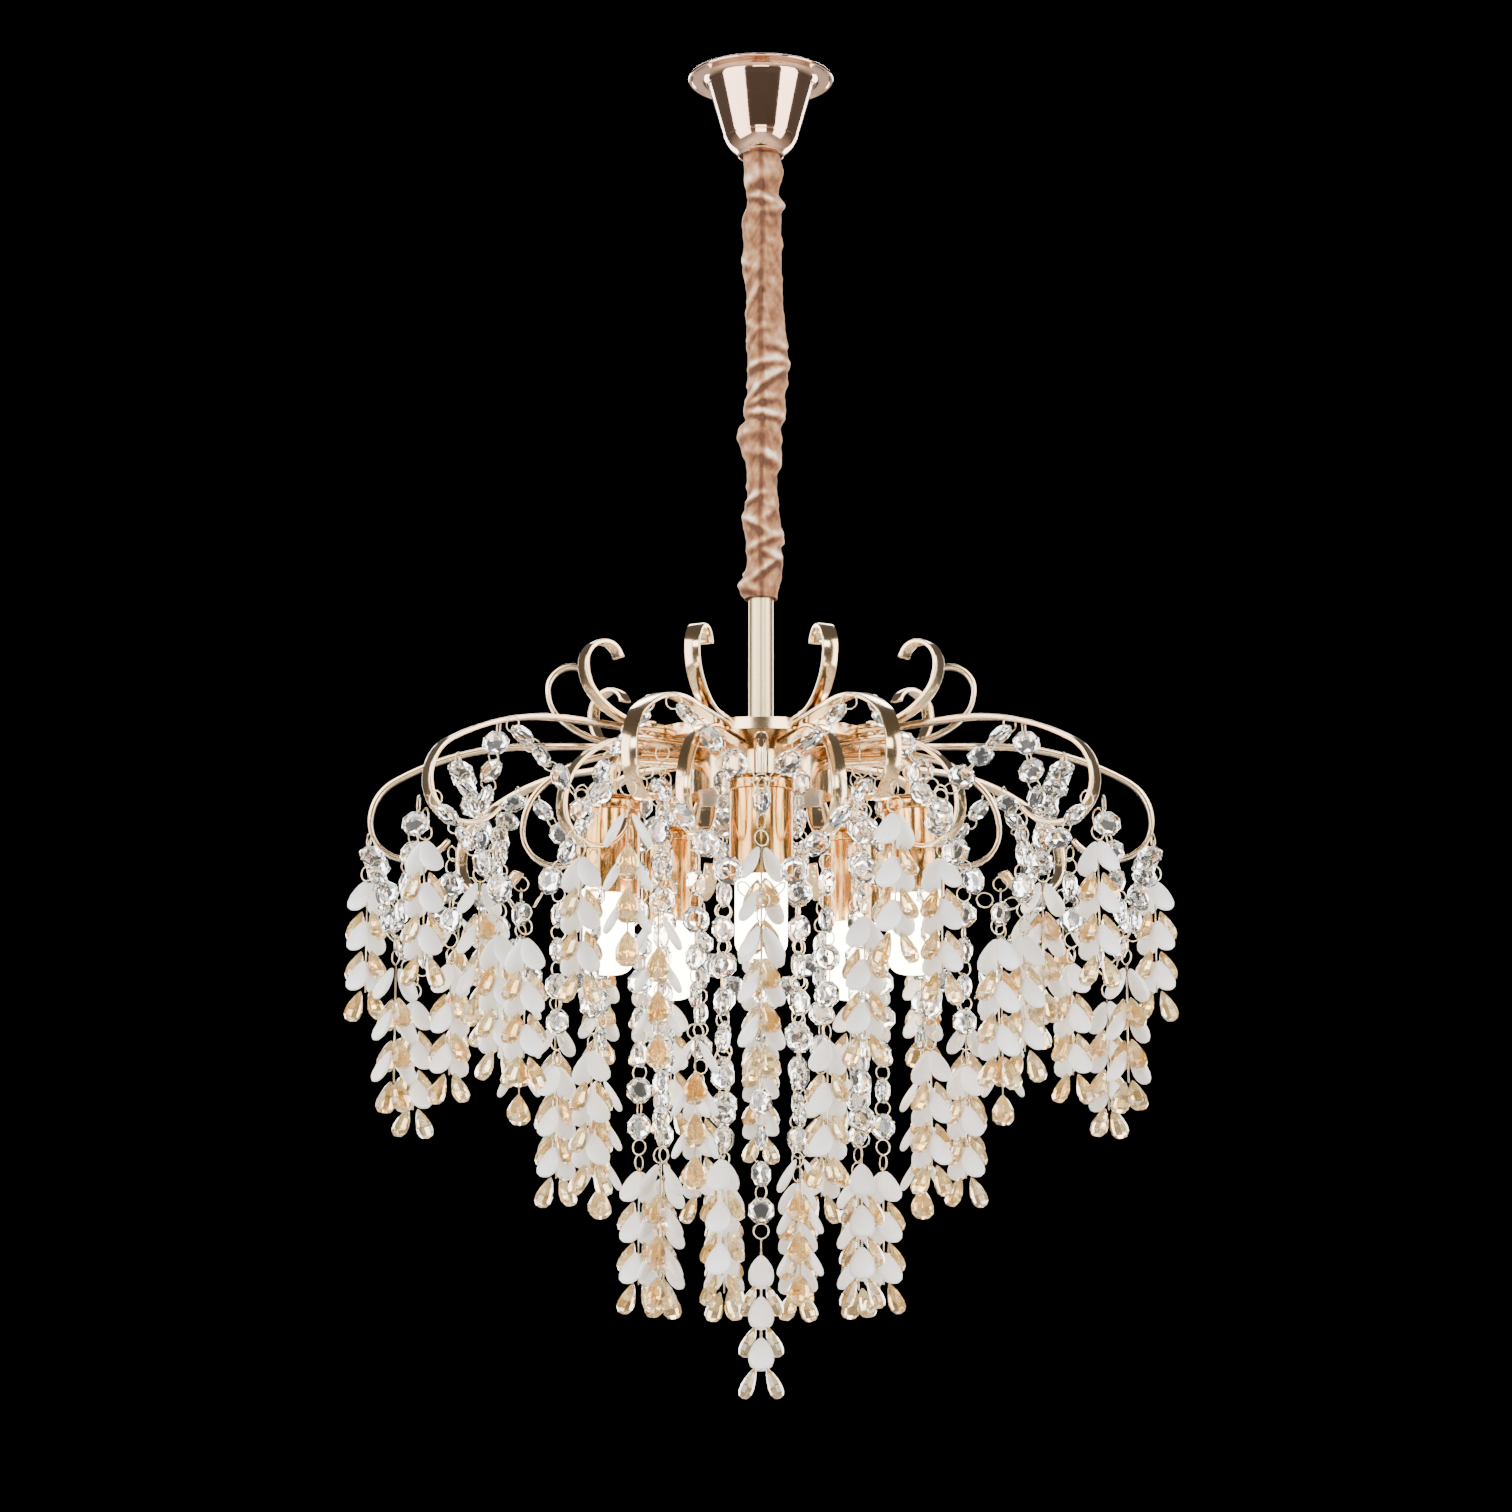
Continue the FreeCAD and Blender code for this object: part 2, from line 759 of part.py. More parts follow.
def at_lamps(label, points):
    """A turned piece on the lamp's own axis, repeated at the five lamps."""
    body = new_body(label)
    sketch = sketch_on(body, "XZ_Plane", f"{label}_outline")
    reach = size("lamp_circle")
    trace(sketch, [(reach + p[0], *p[1:]) for p in points])
    axis = sketch_on(body, "XZ_Plane", f"{label}_axis")
    heights = sorted(value_of(p[1]) for p in points)
    trace(axis, [(reach, fixed_size(heights[0])), (reach, fixed_size(heights[-1]))], closed=False)
    lathe = body.newObject("PartDesign::Revolution", f"{label}_turned")
    lathe.Profile = sketch
    lathe.ReferenceAxis = (axis, ["Edge1"])
    lathe.Angle = 360.0
    around(body, lathe, size("lamp_count"))
    body.Placement = Placement(ORIGIN, Rotation(AXIS_TOP, mm("lamp_angle")))
    return body


def lamp_pieces():
    """Caps, candle sleeves and lampholders, all turned parts."""
    cap, cap_wall = size("cap_radius"), size("cap_wall")
    cap_foot = fixed_size(CAP_TOP - mm("cap_depth"))
    roof = fixed_size(CAP_TOP)
    ceiling = fixed_size(CAP_INSIDE)
    tube, tube_wall = size("lamp_sleeve_radius"), size("lamp_sleeve_wall")
    tube_foot = fixed_size(CAP_INSIDE - mm("lamp_sleeve_length"))
    holder = size("holder_radius")
    holder_foot = fixed_size(HOLDER_FOOT)
    socket = size("bulb_cap_radius") + size("bulb_clearance")
    socket_top = fixed_size(HOLDER_FOOT + mm("bulb_cap_length") + mm("bulb_seat_gap") * 2)
    return [
        at_lamps(
            "lamp_caps",
            [
                (ZERO, roof),
                (cap - 3, roof, 3.0, -1),
                (cap, roof - 3),
                (cap, cap_foot),
                (cap - cap_wall, cap_foot),
                (cap - cap_wall, ceiling),
                (ZERO, ceiling),
            ],
        ),
        at_lamps(
            "candle_sleeves",
            [
                (tube - tube_wall, tube_foot),
                (tube, tube_foot),
                (tube, ceiling),
                (tube - tube_wall, ceiling),
            ],
        ),
        at_lamps(
            "lampholders",
            [
                (ZERO, ceiling),
                (holder, ceiling),
                (holder, holder_foot),
                (socket, holder_foot),
                (socket, socket_top),
                (ZERO, socket_top),
            ],
        ),
    ]


def bulbs():
    """Five tubular lamps, each a node of its own because each one turns in its holder."""
    cap = size("bulb_cap_radius")
    glass = size("bulb_radius")
    shoulder = HOLDER_FOOT - mm("bulb_seat_gap")
    top = fixed_size(shoulder + mm("bulb_cap_length"))
    seat = fixed_size(shoulder)
    foot = fixed_size(shoulder - mm("bulb_length"))
    nodes = []
    for i, angle in enumerate(LAMPS, start=1):
        body = turned(
            f"bulb_{i}",
            [
                (ZERO, top),
                (cap, top),
                (cap, seat),
                (glass - 2, seat, 2.0, -1),
                (glass, seat - 2),
                (glass, foot + 8, 8.0, -1),
                (glass - 8, foot),
                (ZERO, foot),
            ],
        )
        reach = Vector(mm("lamp_circle"), 0, 0)
        body.Placement = Placement(Rotation(AXIS_TOP, angle).multVec(reach), Rotation())
        nodes.append(body)
    return nodes


# ---------------------------------------------------------------- crystal


def faceted(rings):
    """A closed solid with flat facets: neighbouring rings of points are joined point to point."""
    faces = [Part.Face(Part.makePolygon([*rings[0], rings[0][0]]))]
    for lower, upper in zip(rings, rings[1:]):
        for i in range(len(lower)):
            j = (i + 1) % len(lower)
            faces.append(Part.Face(Part.makePolygon([lower[i], lower[j], upper[j], upper[i], lower[i]])))
    faces.append(Part.Face(Part.makePolygon([*rings[-1], rings[-1][0]])))
    solid = Part.Solid(Part.Shell(faces))
    if solid.Volume < 0:
        solid.reverse()
    return solid


def octagon(across, offset):
    """Eight corners with a flat side up and down; across is from flat to flat, and offset is along Y."""
    reach = across / 2 / math.cos(math.pi / 8)
    angles = [math.pi / 8 + math.pi / 4 * i for i in range(8)]
    return [Vector(reach * math.cos(a), offset, reach * math.sin(a)) for a in angles]


def cut_bead():
    """The octagon: a table on each face, a bevel all round and a narrow flat girdle."""
    across, table = mm("bead_size"), mm("bead_table")
    girdle, face = mm("bead_girdle") / 2, mm("bead_thickness") / 2
    rings = [(table, -face), (across, -girdle), (across, girdle), (table, face)]
    return faceted([octagon(*sizes) for sizes in rings])


def leaf(width, length, offset, shrink):
    """A pointed oval in the XZ plane, hung from the origin, drawn in towards its middle by shrink."""
    half = [(0.16, 0.0), (0.36, 0.30), (0.5, 0.62), (0.36, 0.90), (0.12, 1.0)]
    outline = half + [(-x, z) for x, z in reversed(half)]
    middle = -0.58 * length
    points = []
    for x, z in outline:
        points.append(Vector(x * width * shrink, offset, middle - (z * length + middle) * shrink))
    return points


def petal():
    """A frosted glass petal: a pointed oval with a bevelled edge."""
    width, length = mm("petal_width"), mm("petal_length")
    face, edge = mm("petal_thickness") / 2, 0.5
    rims = [(-face, 0.62), (-edge, 1.0), (edge, 1.0), (face, 0.62)]
    return faceted([leaf(width, length, offset, shrink) for offset, shrink in rims])


def teardrop():
    """A champagne teardrop: six sides, narrow at the top and round at the foot."""
    length = mm("drop_length")
    profile = [(0.14, 0.0), (0.42, 0.36), (0.5, 0.66), (0.36, 0.9), (0.14, 1.0)]
    rings = []
    for share, depth in profile:
        ring_points = []
        for i in range(6):
            angle = math.pi / 3 * i
            across = share * mm("drop_width") * math.cos(angle)
            out = share * mm("drop_depth") * math.sin(angle)
            ring_points.append(Vector(across, out, -depth * length))
        rings.append(ring_points)
    return faceted(rings)


BEAD, PETAL, TEARDROP = cut_bead(), petal(), teardrop()
BEAD_TURN = 47.0
EDGE_GAP = 1.0


def bar(width, top, bottom):
    """A straight square bar between two heights, on the Z axis."""
    return Part.makeBox(width, width, top - bottom, Vector(-width / 2, -width / 2, bottom))


def hung_leaf(shape, out, height, splay, turn):
    """A petal or teardrop with its top at a height, leaning out, then turned round the ear."""
    lean = Placement(ORIGIN, Rotation(Vector(1, 0, 0), splay))
    place = Placement(Vector(0, out, height), Rotation())
    return moved(shape, Placement(ORIGIN, Rotation(AXIS_TOP, turn)).multiply(place).multiply(lean))


def ear(top):
    """An ear of crystal hung from a height: tiers of two petals with two teardrops a quarter turn round."""
    tiers, lag, core = int(mm("tier_count")), mm("drop_lag"), mm("core_width")
    foot = top - mm("tier_pitch") * (tiers - 1) - lag - core
    shapes = [bar(core, top, foot)]
    for tier in range(tiers):
        height = top - mm("tier_pitch") * tier - core / 3
        for turn in (0.0, 180.0):
            shapes.append(hung_leaf(PETAL, mm("petal_out"), height, mm("petal_splay"), turn))
            drop = hung_leaf(TEARDROP, mm("drop_out"), height - lag, mm("drop_splay"), turn + 90.0)
            shapes.append(drop)
    return shapes


def straight_strand(hook, ear_top, twist):
    """Beads on pins from a hook height down to an ear, all on the Z axis."""
    pitch, bead, width = mm("bead_pitch"), mm("bead_size"), mm("pin_width")
    lowest = ear_top + mm("ear_gap")
    count = max(0, int((hook - lowest - bead - EDGE_GAP) // pitch) + 1)
    shapes = []
    top = ear_top
    for i in range(count):
        foot = lowest + pitch * i
        shapes.append(bar(width, foot, top))
        turn = Rotation(AXIS_TOP, twist + BEAD_TURN * i)
        shapes.append(moved(BEAD, Placement(Vector(0, 0, foot + bead / 2), turn)))
        top = foot + bead
    shapes.append(bar(width, hook, top))
    turn = Placement(ORIGIN, Rotation(AXIS_TOP, twist))
    return shapes + [moved(shape, turn) for shape in ear(ear_top)]


def at_place(shapes, radius, angle):
    place = Rotation(AXIS_TOP, angle).multVec(Vector(radius, 0, 0))
    shift = Placement(place, Rotation())
    return [moved(shape, shift) for shape in shapes]


def slanted_run(start, end):
    """Beads and pins from start towards end along a straight line, which is how a taut short run hangs."""
    pitch, bead, width = mm("swag_pitch"), mm("bead_size"), mm("pin_width")
    gap = pitch - bead
    along = end.sub(start)
    count = int((along.Length - gap) // pitch)
    first = (along.Length - count * pitch + gap) / 2
    shapes = []
    reach = 0.0
    for i in range(count):
        foot = first + pitch * i
        shapes.append(bar(width, -reach, -foot))
        centre = Placement(Vector(0, 0, -(foot + bead / 2)), Rotation(AXIS_TOP, 31.0 * i))
        shapes.append(moved(BEAD, centre))
        reach = foot + bead
    shapes.append(bar(width, -reach, -along.Length))
    place = Placement(start, Rotation(Vector(0, 0, -1), along))
    return [moved(shape, place) for shape in shapes]


def swag(hook_radius, hook_height, middle_radius, middle_height, ear_top, twist):
    """A garland shaped like a V between two arms, with an ear hung from its lowest point."""
    half_step = 180.0 / mm("arm_count")
    reach, clasp = mm("clasp_reach"), mm("clasp_width")
    middle = Rotation(AXIS_TOP, half_step).multVec(Vector(middle_radius, 0, 0))
    middle.z = middle_height
    shapes = []
    for angle, side in ((0.0, 1), (2 * half_step, -1)):
        hook = Rotation(AXIS_TOP, angle).multVec(Vector(hook_radius, reach * side, 0))
        hook.z = hook_height
        toward = Vector(hook.x - middle.x, hook.y - middle.y, 0).normalize()
        shapes += slanted_run(hook, middle + toward * reach + Vector(0, 0, clasp / 2))
    long = mm("clasp_length")
    block = Part.makeBox(long, clasp, clasp, Vector(-long / 2, -clasp / 2, -clasp / 2))
    shapes.append(moved(block, Placement(middle, Rotation(AXIS_TOP, half_step + 90))))
    hung = straight_strand(middle_height - clasp / 2, ear_top, twist)
    return shapes + at_place(hung, middle_radius, half_step)


def down(depth):
    """A height measured down from the frame plate's upper face."""
    return mm("plate_height") - depth


SWINGING_RINGS = {
    # name: (radius, hook depth, depth of the ear's top)
    "end_drop": (219.0, 62.0, 79.0),
    "tip_drop": (172.0, 60.0, 125.0),
    "scroll_drop": (112.5, 72.5, 182.0),
}
INNER_RING = (67.0, 9.0, 240.0)
CENTRE_EAR = 286.0
OUTER_SWAG = (219.0, 54.0, 207.0, 124.0, 137.0)
INNER_SWAG = (170.0, 10.0, 161.0, 54.0, 88.0)


def ring_of_strands(sizes):
    """One strand under each arm, as a list of solids for each."""
    radius, hook, ear_top = sizes
    count = int(mm("arm_count"))
    strands = [straight_strand(down(hook), down(ear_top), 25.0 + 61.0 * i) for i in range(count)]
    return [at_place(shapes, radius, 360.0 / count * i) for i, shapes in enumerate(strands)]


def hanging_strands():
    nodes = []
    for name, sizes in SWINGING_RINGS.items():
        for number, shapes in enumerate(ring_of_strands(sizes), start=1):
            nodes.append(set_of(f"{name}_{number:02d}", shapes))
    inner = [shape for strand in ring_of_strands(INNER_RING) for shape in strand]
    nodes.append(set_of("inner_drops", inner))
    centre_hook = down(mm("plate_depth") + mm("drum_depth"))
    nodes.append(set_of("centre_strand", straight_strand(centre_hook, down(CENTRE_EAR), 0.0)))
    return nodes


def swags(label, sizes):
    radius, hook, middle_radius, middle, ear_top = sizes
    step = 360.0 / mm("arm_count")
    shapes = []
    for i in range(int(mm("arm_count"))):
        garland = swag(radius, down(hook), middle_radius, down(middle), down(ear_top), 40.0 + 53.0 * i)
        turn = Placement(ORIGIN, Rotation(AXIS_TOP, step * i))
        shapes += [moved(shape, turn) for shape in garland]
    return set_of(label, shapes)


# ---------------------------------------------------------------- the whole light

nodes = [
    ceiling_bracket(),
    ceiling_hook(),
    canopy(),
    canopy_screws(),
    terminal_block(),
    *chain(),
    chain_sleeve(),
    stem_loop(),
    stem_tube(),
    frame_plate(),
    hub_drum(),
    hub_base(),
    *frame_strips(),
    arm_rivets(),
    lamp_brackets(),
    *lamp_pieces(),
    *bulbs(),
    *hanging_strands(),
    swags("outer_swags", OUTER_SWAG),
    swags("inner_swags", INNER_SWAG),
]
doc.recompute()

for item in doc.Objects:
    if "Invalid" in item.State or "Error" in item.State:
        raise RuntimeError(f"{item.Name} failed: {item.State}")
for node in nodes:
    if node.Shape.isNull() or not node.Shape.isValid() or not node.Shape.Solids:
        raise RuntimeError(f"{node.Label} has no valid solid")

os.makedirs("parts", exist_ok=True)
for node in nodes:
    node.Shape.exportStep(f"parts/{node.Label}.step")
    box = node.Shape.BoundBox
    volume, solids = node.Shape.Volume, len(node.Shape.Solids)
    print(f"{node.Label:18s} {solids:4d} solids {volume:9.0f} mm3  z {box.ZMin:8.1f} {box.ZMax:8.1f}")
print(len(nodes), "nodes", sum(len(node.Shape.Solids) for node in nodes), "solids")
print(f"hinges: lowest link {LINK_HINGE:.2f}, stem loop {LOOP_HINGE:.2f}")
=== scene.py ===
# %% [markdown]
# # A crystal pendant chandelier, finished in Blender
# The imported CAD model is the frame: it fixes every size, joint and place. This lesson dresses it. Metal
# strips, cut glass, frosted petals and a gathered fabric sleeve are worked out with numpy as surfaces and
# put on the bodies they belong to, so that each one moves with its joint.

# %% Load the frame
import json
import math

import bmesh
import bpy
import numpy as np
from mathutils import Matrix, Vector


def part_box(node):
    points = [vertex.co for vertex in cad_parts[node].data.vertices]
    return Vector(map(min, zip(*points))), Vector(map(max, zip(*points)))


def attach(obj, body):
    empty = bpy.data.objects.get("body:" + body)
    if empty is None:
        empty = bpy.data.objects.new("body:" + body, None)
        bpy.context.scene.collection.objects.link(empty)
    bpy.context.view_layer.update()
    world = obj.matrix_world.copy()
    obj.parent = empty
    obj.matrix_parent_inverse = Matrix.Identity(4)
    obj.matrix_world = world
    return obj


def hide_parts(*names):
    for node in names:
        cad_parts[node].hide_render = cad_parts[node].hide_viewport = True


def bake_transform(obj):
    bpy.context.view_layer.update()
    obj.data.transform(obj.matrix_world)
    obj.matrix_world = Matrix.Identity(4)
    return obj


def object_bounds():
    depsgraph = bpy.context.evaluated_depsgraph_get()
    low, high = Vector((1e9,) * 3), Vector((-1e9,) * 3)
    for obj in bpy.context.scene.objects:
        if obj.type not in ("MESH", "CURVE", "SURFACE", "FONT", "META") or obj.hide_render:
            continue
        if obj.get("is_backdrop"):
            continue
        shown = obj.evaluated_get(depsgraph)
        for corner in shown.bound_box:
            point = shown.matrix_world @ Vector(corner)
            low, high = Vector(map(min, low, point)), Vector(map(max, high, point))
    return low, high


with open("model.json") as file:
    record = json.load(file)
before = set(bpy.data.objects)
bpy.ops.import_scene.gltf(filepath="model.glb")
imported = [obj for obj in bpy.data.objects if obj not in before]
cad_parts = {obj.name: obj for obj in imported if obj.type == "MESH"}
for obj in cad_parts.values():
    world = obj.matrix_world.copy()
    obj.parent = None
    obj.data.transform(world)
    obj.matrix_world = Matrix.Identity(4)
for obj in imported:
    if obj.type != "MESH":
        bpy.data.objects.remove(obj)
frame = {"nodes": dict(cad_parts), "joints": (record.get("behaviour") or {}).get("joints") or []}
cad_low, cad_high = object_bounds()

MM = 0.001
joints = {joint["name"]: joint for joint in frame["joints"]}

# %% [markdown]
# ## The camera
# The light hangs near the ceiling and is seen from below with a long lens, so the frame plate shows only
# its rim, and the front arms stand higher in the view than the back ones. The camera looks up by a little
# over eleven degrees at the hub, from 2.35 m away, with no shift.

# %% Camera
TILT = math.radians(11.4)
REACH = 2.346
aim_height = -0.400
side_step = -0.0028
lens = bpy.data.cameras.new("long_lens")
lens.lens = 99.8
lens.sensor_width = 36.0
camera = bpy.data.objects.new("camera", lens)
camera.location = (side_step, -REACH * math.cos(TILT), aim_height - REACH * math.sin(TILT))
camera.rotation_euler = (math.radians(90) + TILT, 0, 0)
bpy.context.scene.collection.objects.link(camera)
bpy.context.scene.camera = camera
print("camera height", round(camera.location.z, 3))

# %% [markdown]
# ## Colours and nodes
# Colours are written as the sRGB hex values a painter would pick, and one function turns them into the
# linear numbers that a shader mixes. Every material is built by one small helper that adds a node, sets
# it and links it.


# %% Colour and node helpers
def linear(hex_colour):
    """Hex sRGB to linear RGBA: c / 12.92 at the low end, ((c + 0.055) / 1.055) to the 2.4 above it."""
    c = np.array([int(hex_colour[i : i + 2], 16) for i in (0, 2, 4)]) / 255.0
    c = np.where(c <= 0.04045, c / 12.92, ((c + 0.055) / 1.055) ** 2.4)
    return (*c.tolist(), 1.0)


def node(material, kind, settings=None, **sockets):
    """Adds one node: settings are its properties or a ramp's stops, sockets are values or outputs."""
    made = material.node_tree.nodes.new(kind)
    for name, value in (settings or {}).items():
        if name != "stops":
            setattr(made, name, value)
            continue
        elements = made.color_ramp.elements
        while len(elements) < len(value):
            elements.new(0.5)
        for element, (place, colour) in zip(elements, value):
            element.position, element.color = place, linear(colour)
    for name, value in sockets.items():
        socket = made.inputs[int(name[1:]) if name[1:].isdigit() else name.replace("_", " ")]
        if isinstance(value, bpy.types.NodeSocket):
            material.node_tree.links.new(value, socket)
        else:
            socket.default_value = value
    return made


def new_material(name, **sockets):
    """A Principled material with its uniform values on the shader's own sockets, and that shader."""
    material = bpy.data.materials.new(name)
    material.use_nodes = True
    shader = material.node_tree.nodes["Principled BSDF"]
    for key, value in sockets.items():
        shader.inputs[key.replace("_", " ")].default_value = value
    return material, shader


def link(material, output, shader, socket):
    """Joins one node's output to a named socket of another."""
    material.node_tree.links.new(output, shader.inputs[socket])


def patchy_colour(material, shader, socket, spacing, stops, detail=2.0):
    """Noise at a real spacing picks a colour between the stops and drives one of the shader's sockets."""
    place = node(material, "ShaderNodeTexCoord").outputs["Object"]
    patches = node(material, "ShaderNodeTexNoise", Vector=place, Scale=1 / spacing, Detail=detail)
    tone = node(material, "ShaderNodeValToRGB", {"stops": stops}, Fac=patches.outputs["Fac"])
    link(material, tone.outputs["Color"], shader, socket)


def fine_relief(material, shader, spacing, strength, depth, detail=2.0):
    """Noise at a real spacing raises and sinks the surface by up to a small depth."""
    place = node(material, "ShaderNodeTexCoord").outputs["Object"]
    noise = node(material, "ShaderNodeTexNoise", Vector=place, Scale=1 / spacing, Detail=detail)
    height = noise.outputs["Fac"]
    relief = node(material, "ShaderNodeBump", Strength=strength, Distance=depth, Height=height)
    link(material, relief.outputs["Normal"], shader, "Normal")


print("helpers ready")

# %% [markdown]
# ## Plated metals
# The canopy, arms and sleeves are sheet, strip and tube with a thin plated layer over a polished
# undercoat. A plated surface is a true metal: its colour is in its reflection, it is smooth, and only a
# faint haze and small handling marks break it up. So each one is full metallic and low in roughness, with
# a slow drift in the colour, fine marks in the roughness and a shallow ripple left by the buffing wheel.
# The stem is brushed instead: the brush ran round it, so its marks are rings.


# %% Metals
def plated_metal(name, light, dark, roughness, haze, ripple_mm=9.0, ripple=0.06):
    """Polished plating: the colour drifts slowly between two close tones, over about four ripples.

    Fine handling marks set the haze, and the buffing wheel leaves a shallow ripple in the height.
    """
    material, shader = new_material(name, Metallic=1.0)
    patchy_colour(material, shader, "Base Color", 4 * ripple_mm * MM, [(0.3, dark), (0.7, light)], 3.0)
    place = node(material, "ShaderNodeTexCoord").outputs["Object"]
    marks = node(material, "ShaderNodeTexNoise", Vector=place, Scale=1 / (1.2 * MM), Detail=2.0)
    worn = roughness + haze
    blend = node(material, "ShaderNodeMapRange", Value=marks.outputs["Fac"], To_Min=roughness, To_Max=worn)
    link(material, blend.outputs["Result"], shader, "Roughness")
    fine_relief(material, shader, ripple_mm * MM, ripple, 0.4 * MM, 1.0)
    return material


def brushed_metal(name, light, dark, grain_mm):
    """Metal brushed round its axis: stretched noise makes fine rings in colour, roughness and height."""
    material, shader = new_material(name, Metallic=1.0)
    place = node(material, "ShaderNodeTexCoord").outputs["Object"]
    stretch = (4.0, 4.0, 1 / (grain_mm * MM))
    rings = node(material, "ShaderNodeMapping", Vector=place, Scale=stretch)
    grain = node(material, "ShaderNodeTexNoise", Vector=rings.outputs["Vector"], Scale=1.0, Detail=4.0)
    stops = [(0.3, dark), (0.7, light)]
    tone = node(material, "ShaderNodeValToRGB", {"stops": stops}, Fac=grain.outputs["Fac"])
    link(material, tone.outputs["Color"], shader, "Base Color")
    spread = node(material, "ShaderNodeMapRange", Value=grain.outputs["Fac"], To_Min=0.22, To_Max=0.42)
    link(material, spread.outputs["Result"], shader, "Roughness")
    height = grain.outputs["Fac"]
    relief = node(material, "ShaderNodeBump", Strength=0.15, Distance=0.05 * MM, Height=height)
    link(material, relief.outputs["Normal"], shader, "Normal")
    return material


# light tone, dark tone, polished roughness, extra haze, and the buffing ripple's length in mm
rose_gold = plated_metal("rose_gold_plating", "e9c2a8", "dcae90", 0.05, 0.05)
champagne_gold = plated_metal("champagne_gold_plating", "f0d6ae", "e3bf90", 0.10, 0.08)
polished_gold = plated_metal("polished_gold_plating", "e0b070", "c9924e", 0.10, 0.08)
pale_gold = brushed_metal("brushed_pale_gold", "d9c59c", "b89e6e", 0.35)
zinc = plated_metal("zinc_plating", "c9c6bf", "a5a199", 0.25, 0.20, 5.0)
ring_wire = plated_metal("ring_wire_gilt", "e8dcc2", "cdb98e", 0.15, 0.10, 3.0)
metals = (rose_gold, champagne_gold, polished_gold, pale_gold, zinc, ring_wire)
print("metals", [metal.name for metal in metals])

# %% [markdown]
# ## Glass and crystal
# Three glasses make the drops. The octagons are clear pressed and polished glass. The teardrops are the
# same glass with a thin champagne lustre fired on. The petals are frosted: acid-etched glass scatters
# light inside its skin, so it looks soft and milky, whitest at its thin rim.


# %% Clear and champagne glass
def cut_glass(name, colour, roughness=0.0, lustre=0.0):
    """Clear glass: full transmission; a fired lustre adds a bright thin coat."""
    sockets = {"Roughness": roughness, "Coat_Weight": lustre}
    return new_material(name, Base_Color=linear(colour), IOR=1.54, Transmission_Weight=1.0, **sockets)


# clear glass is almost colourless, with faint streaks from the melt about 6 mm apart
clear_crystal, clear_shader = cut_glass("clear_cut_crystal", "ffffff")
patchy_colour(clear_crystal, clear_shader, "Base Color", 6 * MM, [(0.35, "f7f9ff"), (0.65, "fffdf8")])

# the lustre is uneven: thicker, more golden patches about the size of a drop
champagne_crystal, champagne_shader = cut_glass("champagne_lustre_crystal", "f2d5a2", 0.05, 0.5)
champagne_shader.inputs["Transmission Weight"].default_value = 0.88
golden = [(0.35, "e8b65e"), (0.6, "ffe9b8")]
patchy_colour(champagne_crystal, champagne_shader, "Base Color", 14 * MM, golden, 1.0)
print("cut glass", clear_crystal.name, champagne_crystal.name)

# %% Frosted petal glass
frosted_petal, petal_shader = new_material(
    "frosted_petal_glass",
    Roughness=0.42,
    IOR=1.5,
    Transmission_Weight=0.15,
    Subsurface_Weight=0.5,
    Subsurface_Scale=2.5 * MM,
)
patchy_colour(frosted_petal, petal_shader, "Base Color", 7 * MM, [(0.3, "fbf2ea"), (0.6, "fffdfa")])
# real etching is far finer than half a millimetre; it is drawn this coarse so that it shows
fine_relief(frosted_petal, petal_shader, 0.5 * MM, 0.2, 0.08 * MM)
print("frosted glass", frosted_petal.name)

# %% [markdown]
# ## Lit opal glass
# The lamp's tube is coated inside with white powder, which scatters the light, so the whole skin glows
# evenly. It is an emitting surface with a faint drift of warmth in it, and no lamp object is needed
# inside.

# %% Lit opal glass
opal_glass, opal_shader = new_material(
    "lit_opal_glass",
    Base_Color=linear("fffaf0"),
    Roughness=0.3,
    Emission_Color=linear("fff6e6"),
    Emission_Strength=18.0,
)
patchy_colour(opal_glass, opal_shader, "Emission Color", 6 * MM, [(0.3, "ffe8c4"), (0.7, "fff4e0")], 1.0)
print("opal glass", opal_glass.name)

# %% [markdown]
# ## Putting arrays into meshes
# A surface is a grid: one parameter runs along it and one runs round it. The grid's corner numbers follow
# a fixed pattern, so the faces are worked out once as an array. A shape repeated many times is one small
# template copied by a stack of 4 by 4 matrices in a single multiplication. Corners that fall on one
# place, at a pole or a seam, are merged when the mesh is made, so every solid piece is closed.


# %% Grids and turned skins
def grid_faces(rows, columns):
    """Quads of a grid that closes on itself round each row; corner (i, j) has number i * columns + j."""
    i, j = np.meshgrid(np.arange(rows - 1), np.arange(columns), indexing="ij")
    k = (j + 1) % columns
    row, below = i * columns, (i + 1) * columns
    return np.stack([row + j, row + k, below + k, below + j], -1).reshape(-1, 4)


def revolve(profile, segments):
    """Turns (radius, height) points about Z. The profile is closed by the caller or ends on the axis."""
    profile = np.asarray(profile, float)
    angle = np.arange(segments) * 2 * np.pi / segments
    x = profile[:, :1] * np.cos(angle)
    y = profile[:, :1] * np.sin(angle)
    z = np.repeat(profile[:, 1:], segments, axis=1)
    return np.stack([x, y, z], -1).reshape(-1, 3), grid_faces(len(profile), segments)


def closed_turn(profile, segments=48):
    """A turned skin facing out: its profile starts on the axis, runs down outside and ends on the axis."""
    points, faces = revolve(profile, segments)
    return points, faces[:, ::-1]


print("grids and turned skins ready")

# %% Copies of a template
def repeat(template, matrices):
    """Copies a (vertices, faces) template by a stack of matrices: v' = M v, faces renumbered by copy."""
    vertices, faces = template
    matrices = np.asarray(matrices, float).reshape(-1, 4, 4)
    padded = np.c_[vertices, np.ones(len(vertices))]
    placed = np.einsum("kij,nj->kni", matrices, padded)[..., :3].reshape(-1, 3)
    shift = np.arange(len(matrices))[:, None, None] * len(vertices)
    return placed, (faces[None] + shift).reshape(-1, faces.shape[1])


print("template copies ready")


